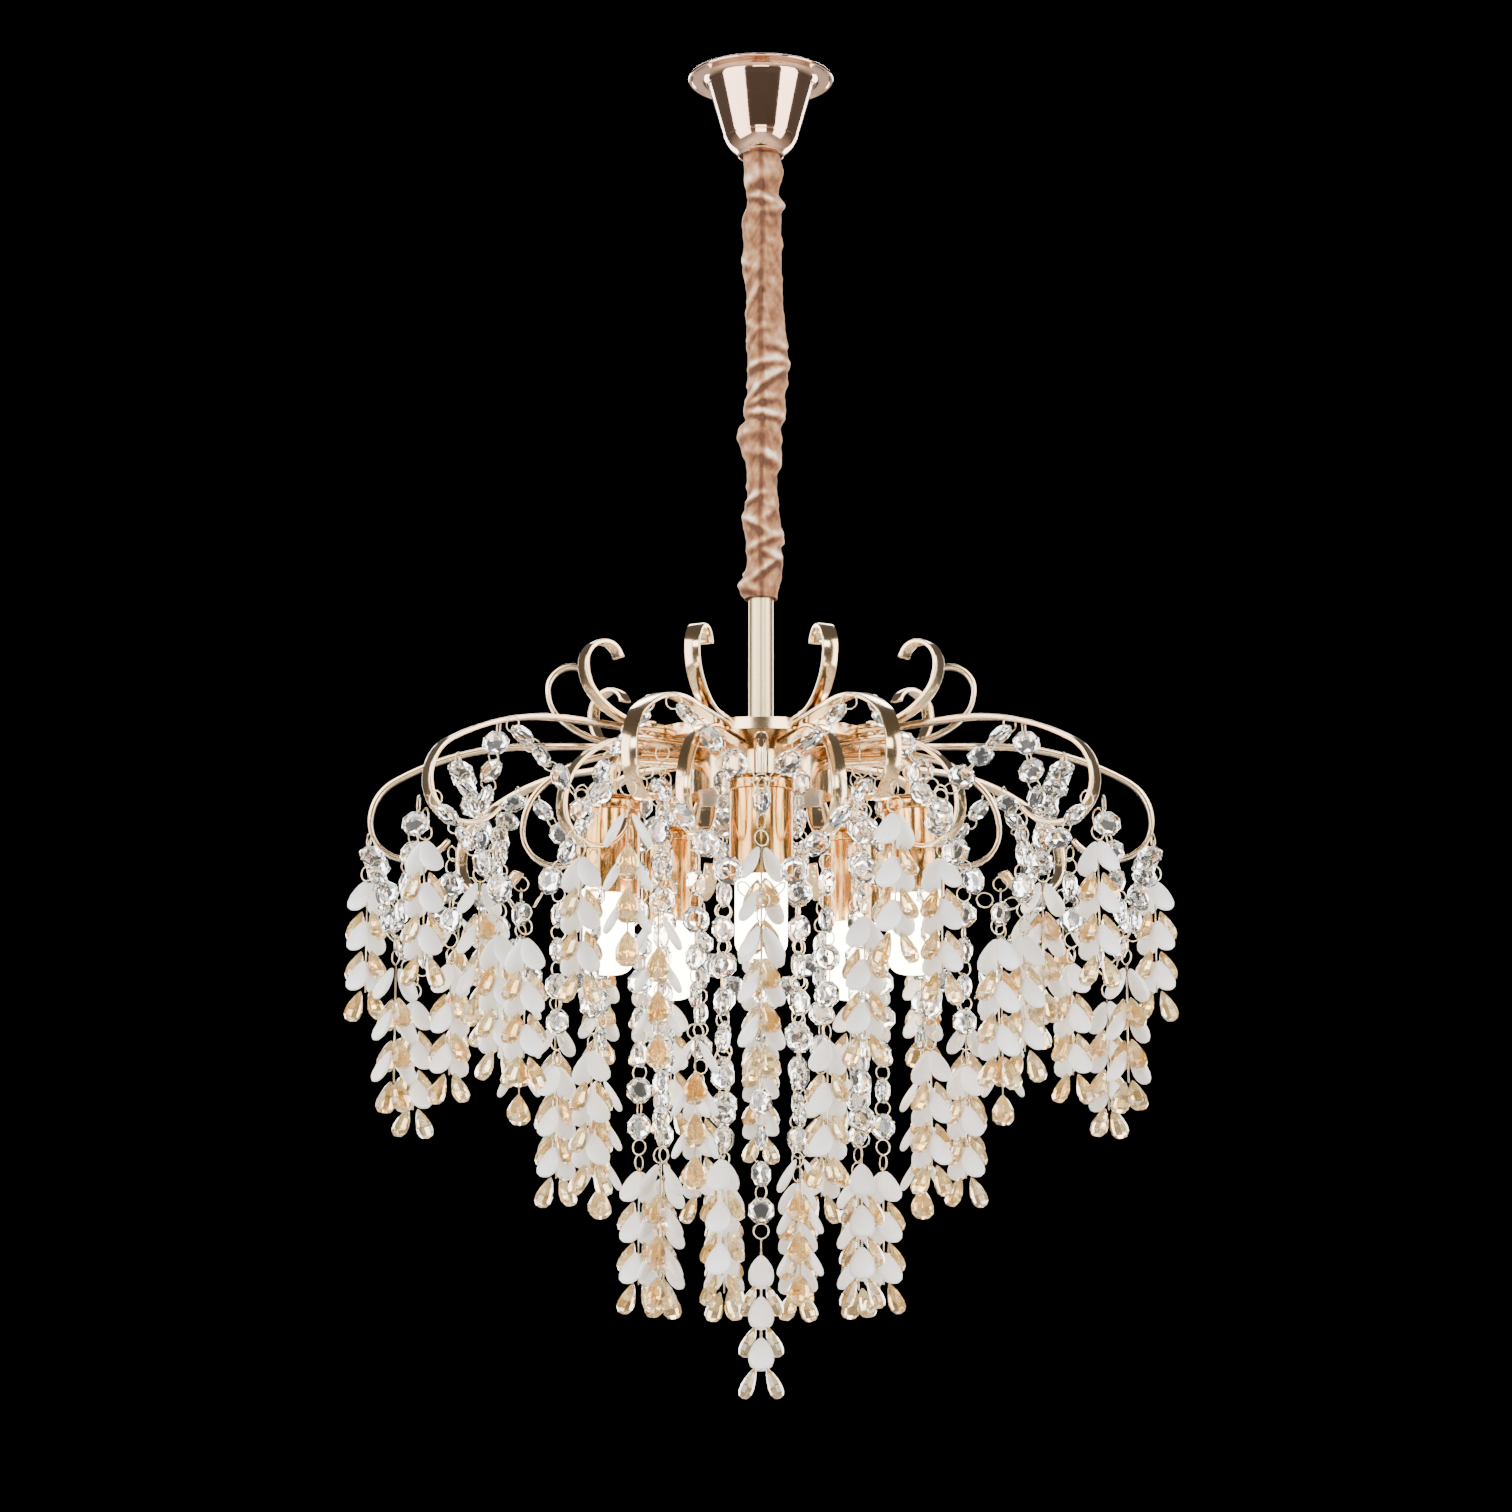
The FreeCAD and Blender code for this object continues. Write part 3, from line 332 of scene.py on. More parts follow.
# %% From arrays to a mesh
def weld(mesh):
    """Merges corners that share a place, which closes seams and poles; faces of no area go with them."""
    work = bmesh.new()
    work.from_mesh(mesh)
    bmesh.ops.remove_doubles(work, verts=work.verts, dist=1e-7)
    work.to_mesh(mesh)
    work.free()
    mesh.validate()


def put_piece(name, parts, body, replaces=()):
    """One mesh from (vertices, faces, material, smooth) parts, riding on a body if one is given."""
    mesh = bpy.data.meshes.new(name)
    vertices, sizes, corners, material_index, smooth = [], [], [], [], []
    start = 0
    for index, (points, faces, material, is_smooth) in enumerate(parts):
        mesh.materials.append(material)
        vertices.append(points)
        corners.append((faces + start).ravel())
        sizes.append(np.full(len(faces), faces.shape[1]))
        material_index.append(np.full(len(faces), index))
        smooth.append(np.full(len(faces), is_smooth))
        start += len(points)
    vertices = np.concatenate(vertices)
    corners = np.concatenate(corners).astype(np.int32)
    sizes = np.concatenate(sizes).astype(np.int32)
    mesh.vertices.add(len(vertices))
    mesh.vertices.foreach_set("co", vertices.astype(np.float32).ravel())
    mesh.loops.add(len(corners))
    mesh.loops.foreach_set("vertex_index", corners)
    mesh.polygons.add(len(sizes))
    mesh.polygons.foreach_set("loop_start", np.r_[0, np.cumsum(sizes)[:-1]].astype(np.int32))
    mesh.polygons.foreach_set("material_index", np.concatenate(material_index).astype(np.int32))
    mesh.polygons.foreach_set("use_smooth", np.concatenate(smooth).astype(bool))
    mesh.update(calc_edges=True)
    weld(mesh)
    piece = bpy.data.objects.new(name, mesh)
    bpy.context.scene.collection.objects.link(piece)
    if body:
        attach(piece, body)
    if replaces:
        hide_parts(*replaces)
    return piece


print("pieces can be put in the scene")


# %% Turns and moves
def turn_z(angle, place=(0.0, 0.0, 0.0)):
    """A turn about Z followed by a move, as a 4 by 4 matrix."""
    c, s = math.cos(angle), math.sin(angle)
    return np.array([[c, -s, 0, place[0]], [s, c, 0, place[1]], [0, 0, 1, place[2]], [0, 0, 0, 1.0]])


def turn_x(angle, place=(0.0, 0.0, 0.0)):
    """A turn about X followed by a move, as a 4 by 4 matrix."""
    c, s = math.cos(angle), math.sin(angle)
    return np.array([[1, 0, 0, place[0]], [0, c, -s, place[1]], [0, s, c, place[2]], [0, 0, 0, 1.0]])


def move(x, y, z):
    """A move alone, as a 4 by 4 matrix."""
    return turn_z(0.0, (x, y, z))


print("turns and moves ready")


# %% Bent paths
def bend_path(start, steps, gap=1.5 * MM):
    """Points and headings along level runs and arcs: a step is ("run", length) or (radius, degrees)."""
    x, y, heading = start[0], start[1], 0.0
    points = [np.array([[x, y, heading]])]
    for first, second in steps:
        if first == "run":
            s = np.linspace(0, second, 2)[1:]
            level = x + s * math.cos(heading)
            height = y + s * math.sin(heading)
            along = np.stack([level, height, np.full_like(s, heading)], -1)
        else:
            turn = math.radians(second)
            side = math.copysign(1.0, turn)
            count = max(4, int(abs(turn) * first / gap))
            h = heading + np.linspace(0, turn, count + 1)[1:]
            across = side * (np.sin(h) - math.sin(heading))
            up = side * (math.cos(heading) - np.cos(h))
            along = np.stack([x + first * across, y + first * up, h], -1)
        points.append(along)
        x, y, heading = along[-1]
    return np.concatenate(points)


print("bent paths ready")

# %% [markdown]
# ## The canopy
# The bell that hides the ceiling box is spun from one disc of brass: a flat flange with a small turned
# lip, a smooth taper and a rounded neck that the fabric sleeve just fits. A lathe shape is a profile
# turned about an axis, and the shine depends on the profile being smooth, so its curves are true arcs
# with fine steps.


# %% Canopy
def arc(centre, radius, start, end, count=14):
    """Points on a circle from one angle to another, in degrees."""
    a = np.radians(np.linspace(start, end, count))
    return np.stack([centre[0] + radius * np.cos(a), centre[1] + radius * np.sin(a)], -1)


def bell_profile(wall):
    """The outer skin from flange to neck and the inner skin back up, a wall apart, with sizes in mm.

    In order: flange, rolled rim, turned lip, shoulder, taper and round foot.
    """
    outer = np.concatenate(
        [
            [[34.0, -0.15], [40.8, -0.1]],
            arc((41.0, -1.0), 0.95, 80, -60, 10),
            [[40.3, -1.9], [39.8, -1.25], [39.0, -1.05]],
            arc((35.0, -6.0), 4.9, 85, 165, 16),
            np.stack([np.linspace(30.1, 20.9, 18), np.linspace(-5.6, -37.0, 18)], -1),
            arc((3.6, -31.0), 18.2, -20, -56, 20),
        ]
    )
    inner = outer[::-1] - [wall, 0]
    inner[:, 1] = np.minimum(inner[:, 1] + 0.3, -0.15)
    keep = inner[:, 0] < 36.0
    return np.concatenate([outer, [[12.9, -47.9]], inner[keep][1:]]) * MM


profile = bell_profile(1.0)
bell, bell_faces = revolve(np.r_[profile, profile[:1]], 128)
bell_part = (bell, bell_faces[:, ::-1], rose_gold, True)
put_piece("canopy_bell", [bell_part], "canopy", ["canopy"])
print("canopy", len(bell_faces), "faces, height", round(float(np.ptp(bell[:, 2])) / MM, 1), "mm")

# %% [markdown]
# ## Bent strip arms
# The arms and scrolls are flat strip, bent the easy way on a jig: long level runs, then tighter and
# tighter curls. A strip is a rounded rectangle carried along a path in one upright plane. Carrying it by
# hand, as one array of path points times section points, keeps the strip's width exact and its edges
# softly rounded, which is what catches the light along the real ones.


# %% Strip surface
def rounded_section(width, thickness, radius, corner_steps=3):
    """Corners of a rounded rectangle: across the strip (width) and through it (thickness)."""
    corners = []
    for cx, cy, start in ((1, 1, 0), (-1, 1, 90), (-1, -1, 180), (1, -1, 270)):
        middle = (cx * (width / 2 - radius), cy * (thickness / 2 - radius))
        corners.append(arc(middle, radius, start, start + 90, corner_steps))
    return np.concatenate(corners)


def strip_surface(start, steps, width, thickness):
    """Carries the section along the path: point = path + thickness * normal, with width across the plane.

    A flat cap of one ring drawn in to the middle closes each end.
    """
    path = bend_path(start, steps)
    section = rounded_section(width, thickness, 0.5 * MM)
    small = section * 0.86
    x, z, heading = path[:, 0], path[:, 1], path[:, 2]
    inset = 0.35 * MM
    tail = path[-1]
    ends = [
        (x[0], z[0], heading[0], section * 0.0),
        (x[0], z[0], heading[0], small),
        *[(a, b, c, section) for a, b, c in path[:-1]],
        (tail[0] - inset * math.cos(tail[2]), tail[1] - inset * math.sin(tail[2]), tail[2], section),
        (tail[0], tail[1], tail[2], small),
        (tail[0], tail[1], tail[2], section * 0.0),
    ]
    centre = np.array([(a, b) for a, b, _, _ in ends])
    angle = np.array([c for _, _, c, _ in ends])
    shape = np.stack([s for _, _, _, s in ends])
    px = centre[:, :1] - shape[..., 1] * np.sin(angle)[:, None]
    pz = centre[:, 1:] + shape[..., 1] * np.cos(angle)[:, None]
    points = np.stack([px, shape[..., 0], pz], -1).reshape(-1, 3)
    return points, grid_faces(len(ends), len(section))


print("strips can be bent")

# %% Strip sizes, from the frame
ARMS = 10
STEP = 2 * math.pi / ARMS
STRIP_WIDTH, STRIP_THICKNESS = 8.4 * MM, 2.5 * MM
plate_low, plate_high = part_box("frame_plate")
plate_top, rim = plate_high.z, plate_high.x
arm_height = plate_top - 2.8 * MM
scroll_height = arm_height + STRIP_THICKNESS
lower_height = plate_low.z - STRIP_THICKNESS / 2
drum_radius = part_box("hub_drum")[1].x


def in_mm(steps):
    """Lengths and radii of a path from millimetres to metres; degrees stay."""
    return [("run", b * MM) if a == "run" else (a * MM, b) for a, b in steps]


ARM_STEPS = in_mm([("run", 61.0), (149.0, -30.0), (26.5, -60.0), (21.5, -90.0), (27.8, -53.0)])
SCROLL_STEPS = in_mm([("run", 11.0), (46.4, 45.0), (22.9, 45.0), (13.5, 90.0), (9.5, 80.0)])
LOWER_STEPS = in_mm([("run", 38.8), (61.2, -45.0), (36.0, -45.0), (20.0, -90.0), (21.8, -78.0)])
round_the_hub = [turn_z(STEP * i) for i in range(ARMS)]
print("arm bends", ARM_STEPS)


# %% Arms and scrolls
def ring_of_strips(name, start, steps):
    """One strip copied round the hub at equal turns."""
    strip = strip_surface(start, steps, STRIP_WIDTH, STRIP_THICKNESS)
    points, faces = repeat(strip, round_the_hub)
    part = (points, faces, champagne_gold, True)
    return put_piece(name, [part], "chandelier", [name.removesuffix("_strip")])


arm_pieces = [
    ring_of_strips("main_arms_strip", (rim, arm_height), ARM_STEPS),
    ring_of_strips("upper_scrolls_strip", (rim, scroll_height), SCROLL_STEPS),
    ring_of_strips("lower_scrolls_strip", (drum_radius + 0.2 * MM, lower_height), LOWER_STEPS),
]
print("strips", [(p.name, len(p.data.polygons)) for p in arm_pieces])

# %% [markdown]
# ## Cut crystal templates
# A chandelier uses the same three cut pieces hundreds of times, so each is a small template with only as
# many facets as the eye needs. The octagon has a table, a ring of star facets and a ring of kites, and
# its facets must stay flat to flash. The petal is pressed and frosted, so it is shaded smooth. The
# teardrop has long flat facets that narrow to its top.


# %% Octagon
def polygon(radius, count, depth, phase):
    """Corners of a regular polygon in a plane across Y."""
    a = phase + np.arange(count) * 2 * np.pi / count
    return np.stack([radius * np.cos(a), np.full(count, depth), radius * np.sin(a)], -1)


def stitched(lower, upper, count):
    """Triangles between two rings of the same count, facing away from their axis."""
    i = np.arange(count)
    k = (i + 1) % count
    first = np.stack([lower + k, lower + i, upper + i], -1)
    second = np.stack([lower + k, upper + i, upper + k], -1)
    return np.concatenate([first, second])


def octagon_template():
    """Half the stone is table, star ring, girdle; the other half is its mirror, joined at the girdle."""
    across, eighth = 14.0 * MM, math.pi / 8
    corner = across / 2 / math.cos(eighth)
    table = polygon(0.54 * corner, 8, -3.2 * MM, 0.0)
    star = polygon(0.80 * corner, 8, -2.1 * MM, eighth)
    girdle = polygon(corner, 8, -0.6 * MM, eighth)
    half = np.concatenate([table, star, girdle])
    mirrored = half * [1, -1, 1]
    i = np.arange(8)
    flat_table = np.stack([np.zeros(6, int), i[1:7], i[2:8]], -1)
    front = np.concatenate([flat_table, stitched(0, 8, 8), stitched(8, 16, 8)])
    back = front[:, ::-1] + 24
    return np.concatenate([half, mirrored]), np.concatenate([front, back, stitched(16, 40, 8)])


octagon = octagon_template()
print("octagon", len(octagon[1]), "faces")


# %% Petal, teardrop, ring and wire
def lens_template(width, length, thickness, rows, columns, top, belly):
    """A flattened drop: at depth u its half width is u^top * (1 - u^belly)^0.5, scaled to its widest.

    Round each row the section is an ellipse, and both ends close to a point.
    """
    u = (1 - np.cos(np.linspace(0.0, np.pi, rows))) / 2
    spread = u**top * np.sqrt(np.maximum(1 - u**belly, 0.0))
    spread = spread / spread.max()
    spread[0] = spread[-1] = 0.0
    a = np.arange(columns) * 2 * np.pi / columns
    x = spread[:, None] * np.cos(a) * width / 2
    y = spread[:, None] ** 0.8 * np.sin(a) * thickness / 2
    z = np.repeat(-u[:, None] * length, columns, axis=1)
    return np.stack([x, y, z], -1).reshape(-1, 3), grid_faces(rows, columns)[:, ::-1]


def ring_template(radius, wire, around=12, section=5):
    """A round wire ring in the XZ plane: (R + r cos b) turned about Y."""
    round_ring = np.arange(around) * 2 * np.pi / around
    round_wire = np.arange(section) * 2 * np.pi / section
    a, b = np.meshgrid(round_ring, round_wire, indexing="ij")
    out = radius + wire * np.cos(b)
    points = np.stack([out * np.cos(a), wire * np.sin(b), out * np.sin(a)], -1).reshape(-1, 3)
    faces = grid_faces(around + 1, section) % (around * section)
    return points, faces


def rod_template(wire, length):
    """A thin six-sided wire hanging down from the origin, closed at both ends."""
    profile = np.array([[0, 0], [wire, 0], [wire, -length], [0, -length]])
    return closed_turn(profile, 6)


petal = lens_template(14.0 * MM, 20.0 * MM, 4.8 * MM, 9, 10, 0.60, 2.6)
teardrop = lens_template(12.4 * MM, 18.0 * MM, 7.6 * MM, 8, 8, 0.80, 3.0)
small_ring = ring_template(4.2 * MM, 0.45 * MM)
print("faces each", [len(t[1]) for t in (petal, teardrop, small_ring)])

# %% [markdown]
# ## Ears and strands
# An ear is three tiers of crystal on a short wire: two petals opposite each other, and two teardrops a
# quarter turn round and lower, all leaning outwards. A strand is a run of octagons joined by rings that
# ends in an ear. Both are only places for the templates, so they are lists of matrices until the end.

# %% Places on a strand
BEAD, PITCH, SWAG_PITCH = 14.0 * MM, 20.0 * MM, 18.0 * MM
TIER, TIERS, LAG = 22.3 * MM, 3, 16.3 * MM
EAR_GAP, RING_STEP = 17.0 * MM, 8.3 * MM
# how far out each kind hangs from the wire, how much lower than its tier, and how far it leans out
HANGS = {"petal": (2.05 * MM, 0.0, math.radians(29.0)), "teardrop": (3.15 * MM, LAG, math.radians(23.0))}


class Strand:
    """Gathers places for the templates of one hanging piece."""

    def __init__(self):
        self.places = {"octagon": [], "petal": [], "teardrop": [], "ring": [], "wire": []}

    def add(self, kind, matrix):
        """Puts one more copy of a template at a place."""
        self.places[kind].append(matrix)

    def moved(self, matrix):
        """The same places carried by one more matrix."""
        other = Strand()
        for kind, matrices in self.places.items():
            other.places[kind] = [matrix @ m for m in matrices]
        return other

    def join(self, *others):
        """Takes in the places of other strands."""
        for other in others:
            for kind, matrices in other.places.items():
                self.places[kind] += matrices
        return self

    def parts(self):
        """The copied templates with their materials, ready for put_piece."""
        looks = [
            ("octagon", octagon, clear_crystal, False),
            ("petal", petal, frosted_petal, True),
            ("teardrop", teardrop, champagne_crystal, False),
            ("ring", small_ring, ring_wire, True),
            ("wire", ear_wire, ring_wire, True),
        ]
        return [(*repeat(t, self.places[k]), m, smooth) for k, t, m, smooth in looks if self.places[k]]


print("ear of", TIERS, "tiers,", round(TIER * (TIERS - 1) / MM + LAG / MM, 1), "mm to its last drops")

# %% Ears and straight strands
ear_wire = rod_template(0.5 * MM, TIER * (TIERS - 1) + LAG + 3 * MM)


def ear(top, twist):
    """Three tiers of two petals and two teardrops, hung from a height on the strand's own axis."""
    made = Strand()
    turn = turn_z(twist)
    made.add("wire", turn @ move(0, 0, top + 1.5 * MM))
    for tier in range(TIERS):
        height = top - TIER * tier - 0.5 * MM
        for quarter, kind in enumerate(("petal", "teardrop", "petal", "teardrop")):
            out, lag, splay = HANGS[kind]
            place = turn_z(math.pi / 2 * quarter) @ move(0, out, height - lag) @ turn_x(splay)
            made.add(kind, turn @ place)
    return made


def rings_over(made, start, end, twist):
    """Fills a gap on the strand's axis with jump rings, each turned a quarter from the one before."""
    count = max(1, round((end - start) / RING_STEP))
    for i in range(count):
        height = start + (end - start) * (i + 0.5) / count
        made.add("ring", turn_z(twist + math.pi / 2 * i) @ move(0, 0, height))


def straight_strand(hook, ear_top, twist):
    """Octagons at a fixed pitch above the ear, each turned on its rings, then rings up to the hook."""
    made = Strand()
    lowest = ear_top + EAR_GAP
    count = max(0, int((hook - lowest - BEAD - 1.0 * MM) // PITCH) + 1)
    top = ear_top
    for i in range(count):
        turn = twist + math.radians(47.0 * i)
        foot = lowest + PITCH * i
        rings_over(made, top, foot, turn + math.pi / 2)
        made.add("octagon", turn_z(turn, (0, 0, foot + BEAD / 2)))
        top = foot + BEAD
    rings_over(made, top, hook, twist)
    return made.join(ear(ear_top, twist))


print("ear's wire", len(ear_wire[1]), "faces")


# %% Hanging the strands
def down(depth_mm):
    """A height measured down from the frame plate's upper face."""
    return plate_top - depth_mm * MM


def hang_strand(node_name, radius, angle, hook, ear_top, twist):
    """One strand as a piece that rides on the body that carries its CAD node."""
    body = node_name if f"{node_name}_swing" in joints else "chandelier"
    place = (radius * math.cos(angle), radius * math.sin(angle), 0.0)
    strand = straight_strand(hook, ear_top, twist).moved(move(*place))
    return put_piece(f"{node_name}_crystals", strand.parts(), body, [node_name])


EAR_TOPS = {"end_drop": 79.0, "tip_drop": 125.0, "scroll_drop": 182.0}
strands = []
for family, ear_depth in EAR_TOPS.items():
    for i in range(ARMS):
        name = f"{family}_{i + 1:02d}"
        hinge = joints[f"{name}_swing"]["pos_m"]
        twist = math.radians(25.0 + 61.0 * i)
        radius = math.hypot(hinge[0], hinge[1])
        strands.append(hang_strand(name, radius, STEP * i, hinge[2], down(ear_depth), twist))
centre_hook = joints["centre_strand_swing"]["pos_m"][2]
strands.append(hang_strand("centre_strand", 0.0, 0.0, centre_hook, down(286.0), 0.0))
print(len(strands), "strands,", sum(len(s.data.polygons) for s in strands), "faces")

# %% [markdown]
# ## The inner ring and the garlands
# Ten long strands hang from the hub's rim, and two rings of garlands are hooked from arm to arm, each
# shaped like a shallow V with an ear at its lowest point. They are the same pieces on other paths: a
# garland's beads follow a straight taut run from its hook to the middle ring.


# %% A garland
def slanted_run(start, end):
    """Octagons and rings along a line at the garland's pitch, with the spare length at both ends."""
    made = Strand()
    along = np.array(end) - np.array(start)
    length = float(np.linalg.norm(along))
    axis = along / length
    down_axis = -axis
    side = np.cross(down_axis, [0.0, 0.0, 1.0])
    side = side / np.linalg.norm(side)
    forward = np.cross(down_axis, side)
    gap = SWAG_PITCH - BEAD
    count = int((length - gap) // SWAG_PITCH)
    first = (length - count * SWAG_PITCH + gap) / 2
    row = np.eye(4)
    row[:3, 0], row[:3, 1], row[:3, 2], row[:3, 3] = side, forward, down_axis, start
    reach = 0.0
    for i in range(count):
        foot = first + SWAG_PITCH * i
        turn = math.radians(31.0 * i)
        rings_over(made, -reach, -foot, turn + math.pi / 2)
        made.add("octagon", turn_z(turn, (0, 0, -(foot + BEAD / 2))))
        reach = foot + BEAD
    rings_over(made, -reach, -length, 0.6)
    return made.moved(row)


def garland(hook_radius, hook, middle_radius, middle, ear_top, twist):
    """Two slanted runs from neighbouring arms to a middle ring, and the ear under it."""
    beside, above_ring = 5.4 * MM, 1.5 * MM
    made = Strand()
    half = STEP / 2
    centre = np.array([middle_radius * math.cos(half), middle_radius * math.sin(half), middle])
    for angle, side in ((0.0, 1), (STEP, -1)):
        offset = beside * side
        c, s = math.cos(angle), math.sin(angle)
        start = np.array([hook_radius * c - offset * s, hook_radius * s + offset * c, hook])
        toward = np.array([start[0] - centre[0], start[1] - centre[1], 0.0])
        toward = toward / np.linalg.norm(toward)
        made.join(slanted_run(start, centre + toward * beside + [0, 0, above_ring]))
    made.add("ring", turn_z(half + math.pi / 2, centre))
    hung = straight_strand(middle - above_ring, ear_top, twist)
    return made.join(hung.moved(move(centre[0], centre[1], 0)))


print("garlands can be strung")


# %% Inner strands and garlands
def garland_ring(name, radius, hook, middle_radius, middle, ear_top):
    """Ten garlands round the light; radii in mm, heights in mm under the plate's upper face."""
    made = Strand()
    heights = (down(middle), down(ear_top))
    for i in range(ARMS):
        twist = math.radians(40 + 53 * i)
        one = garland(radius * MM, down(hook), middle_radius * MM, *heights, twist)
        made.join(one.moved(turn_z(STEP * i)))
    return put_piece(f"{name}_crystals", made.parts(), "chandelier", [name])


INNER_RADIUS = 67.0 * MM
inner = Strand()
for i in range(ARMS):
    strand = straight_strand(down(9.0), down(240.0), math.radians(25.0 + 61.0 * i))
    inner.join(strand.moved(turn_z(STEP * i) @ move(INNER_RADIUS, 0, 0)))
inner_drops = put_piece("inner_drops_crystals", inner.parts(), "chandelier", ["inner_drops"])
outer_swags = garland_ring("outer_swags", 219.0, 54.0, 207.0, 124.0, 137.0)
inner_swags = garland_ring("inner_swags", 170.0, 10.0, 161.0, 54.0, 88.0)
print("garlands", [(p.name, len(p.data.polygons)) for p in (inner_drops, outer_swags, inner_swags)])

# %% [markdown]
# ## Lamps
# Each lamp is a tubular opal bulb, lit, in a lampholder hidden by a polished candle sleeve under a domed
# cap. They are all lathe shapes on the lamp's own axis. The bulb is one closed surface, and it glows from
# its whole skin because the powder inside scatters the light.


# %% Lamps
def lamp_axes():
    """The middle of each bulb, read from the frame."""
    boxes = [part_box(f"bulb_{i}") for i in range(1, 6)]
    return [((low.x + high.x) / 2, (low.y + high.y) / 2, low.z, high.z) for low, high in boxes]


LAMP_RADIUS, HIDDEN_NECK = 14.0 * MM, 24.0 * MM
THREAD_RADIUS, THREAD_DEPTH, THREAD_PITCH = 6.6 * MM, 0.35 * MM, 2.8 * MM


def bulb_glass(low, high):
    """The tubular bulb: a flat top with a 3 mm shoulder, straight sides and an 8 mm round foot."""
    glass_top = high - HIDDEN_NECK
    shoulder = arc((LAMP_RADIUS - 3 * MM, glass_top - 3 * MM), 3 * MM, 90, 0, 6)
    foot = arc((LAMP_RADIUS - 8 * MM, low + 8 * MM), 8 * MM, 0, -90, 12)
    return np.concatenate([[[0, glass_top]], shoulder, foot, [[0, low]]])


def screw_cap(high):
    """The lamp's own cap: a rolled thread, radius = mean + depth * sin(2 pi * height / pitch)."""
    foot = high - HIDDEN_NECK - 0.5 * MM
    z = np.linspace(high - 2 * MM, foot, 40)
    r = THREAD_RADIUS + THREAD_DEPTH * np.sin(z / THREAD_PITCH * 2 * np.pi)
    top = [[0, high], [4 * MM, high - 0.3 * MM]]
    return np.concatenate([top, np.stack([r, z], -1), [[0, foot]]])


lamp_places = lamp_axes()
for number, (x, y, low, high) in enumerate(lamp_places, start=1):
    glass_points, glass_faces = closed_turn(bulb_glass(low, high))
    cap_points, cap_faces = closed_turn(screw_cap(high), 32)
    shift = [x, y, 0.0]
    parts = [
        (glass_points + shift, glass_faces, opal_glass, True),
        (cap_points + shift, cap_faces, zinc, True),
    ]
    put_piece(f"bulb_{number}_lamp", parts, f"lamp_{number}", [f"bulb_{number}"])
print("lamps at", [(round(x / MM), round(y / MM)) for x, y, _, _ in lamp_places])

# %% [markdown]
# ## Candle sleeves and caps
# A candle sleeve is a thin drawn tube with its cut edges rolled smooth, and a domed cap closes it above.
# Both hide the lampholder. They are turned from a profile with real wall thickness, because the open foot
# of the sleeve is seen from below, and one of each is copied to the five lamps.


# %% Candle sleeves
sleeve_low, sleeve_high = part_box("candle_sleeves")
lamp_moves = [move(x, y, 0) for x, y, _, _ in lamp_places]


def thin_tube(outer, wall, low, high, lip=0.5 * MM):
    """A tube open at both ends with small rounded lips, as one closed profile that runs up its outside."""
    low_lip = arc((outer - lip, low + lip), lip, -90, 0, 4)
    high_lip = arc((outer - lip, high - lip), lip, 0, 90, 4)
    bore = [[outer - wall, high], [outer - wall, low], [outer - lip, low]]
    return np.concatenate([low_lip, high_lip, bore])


def on_every_lamp(name, turned, replaces):
    """Copies one polished turned piece to the five lamps."""
    points, faces = repeat(turned, lamp_moves)
    put_piece(name, [(points, faces, polished_gold, True)], "chandelier", [replaces])
    print(name, len(faces), "faces")


tube_profile = thin_tube(17.0 * MM, 0.8 * MM, sleeve_low.z, sleeve_high.z)
on_every_lamp("candle_sleeves_gold", revolve(tube_profile, 64), "candle_sleeves")

# %% Lamp caps
cap_low, cap_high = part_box("lamp_caps")
CAP_RADIUS, CAP_WALL = 18.2 * MM, 1.0 * MM
CAP_SHOULDER, CAP_LIP = 4.0 * MM, 0.5 * MM
cap_under = cap_high.z - CAP_WALL
dome = np.concatenate(
    [
        [[0, cap_high.z]],
        arc((CAP_RADIUS - CAP_SHOULDER, cap_high.z - CAP_SHOULDER), CAP_SHOULDER, 90, 0, 8),
        arc((CAP_RADIUS - CAP_LIP, cap_low.z + CAP_LIP), CAP_LIP, 0, -90, 4),
        [[CAP_RADIUS - CAP_WALL, cap_low.z], [CAP_RADIUS - CAP_WALL, cap_under], [0, cap_under]],
    ]
)
on_every_lamp("lamp_caps_gold", closed_turn(dome, 64), "lamp_caps")

# %% [markdown]
# ## The gathered fabric sleeve
# The chain is hidden in a strip of velvet whose long edges lap and close at the front. The strip is cut
# longer than the chain and pushed along it, so it crumples: rolls of cloth lie across it at a slant, some
# parts swell and others hug the links. The surface is a grid of turn and height. The reach to the left
# and to the right at each height gives its slow swell, and each roll adds a soft ridge. The ridge leans
# over, as cloth does, and fades as it runs round. Where the edges meet, the upper one lies over the
# lower.


# %% Reading the outline
def smooth_steps(heights, table):
    """Reads a (height, left, right) table at many heights with a smooth curve between its rows."""
    table = np.array(table)[::-1]
    place = np.interp(heights, table[:, 0], np.arange(len(table)))
    low = np.clip(np.floor(place).astype(int), 0, len(table) - 2)
    part = place - low
    part = (part * part * (3 - 2 * part))[:, None]
    return table[low, 1:] * (1 - part) + table[low + 1, 1:] * part


print("outline reader ready")

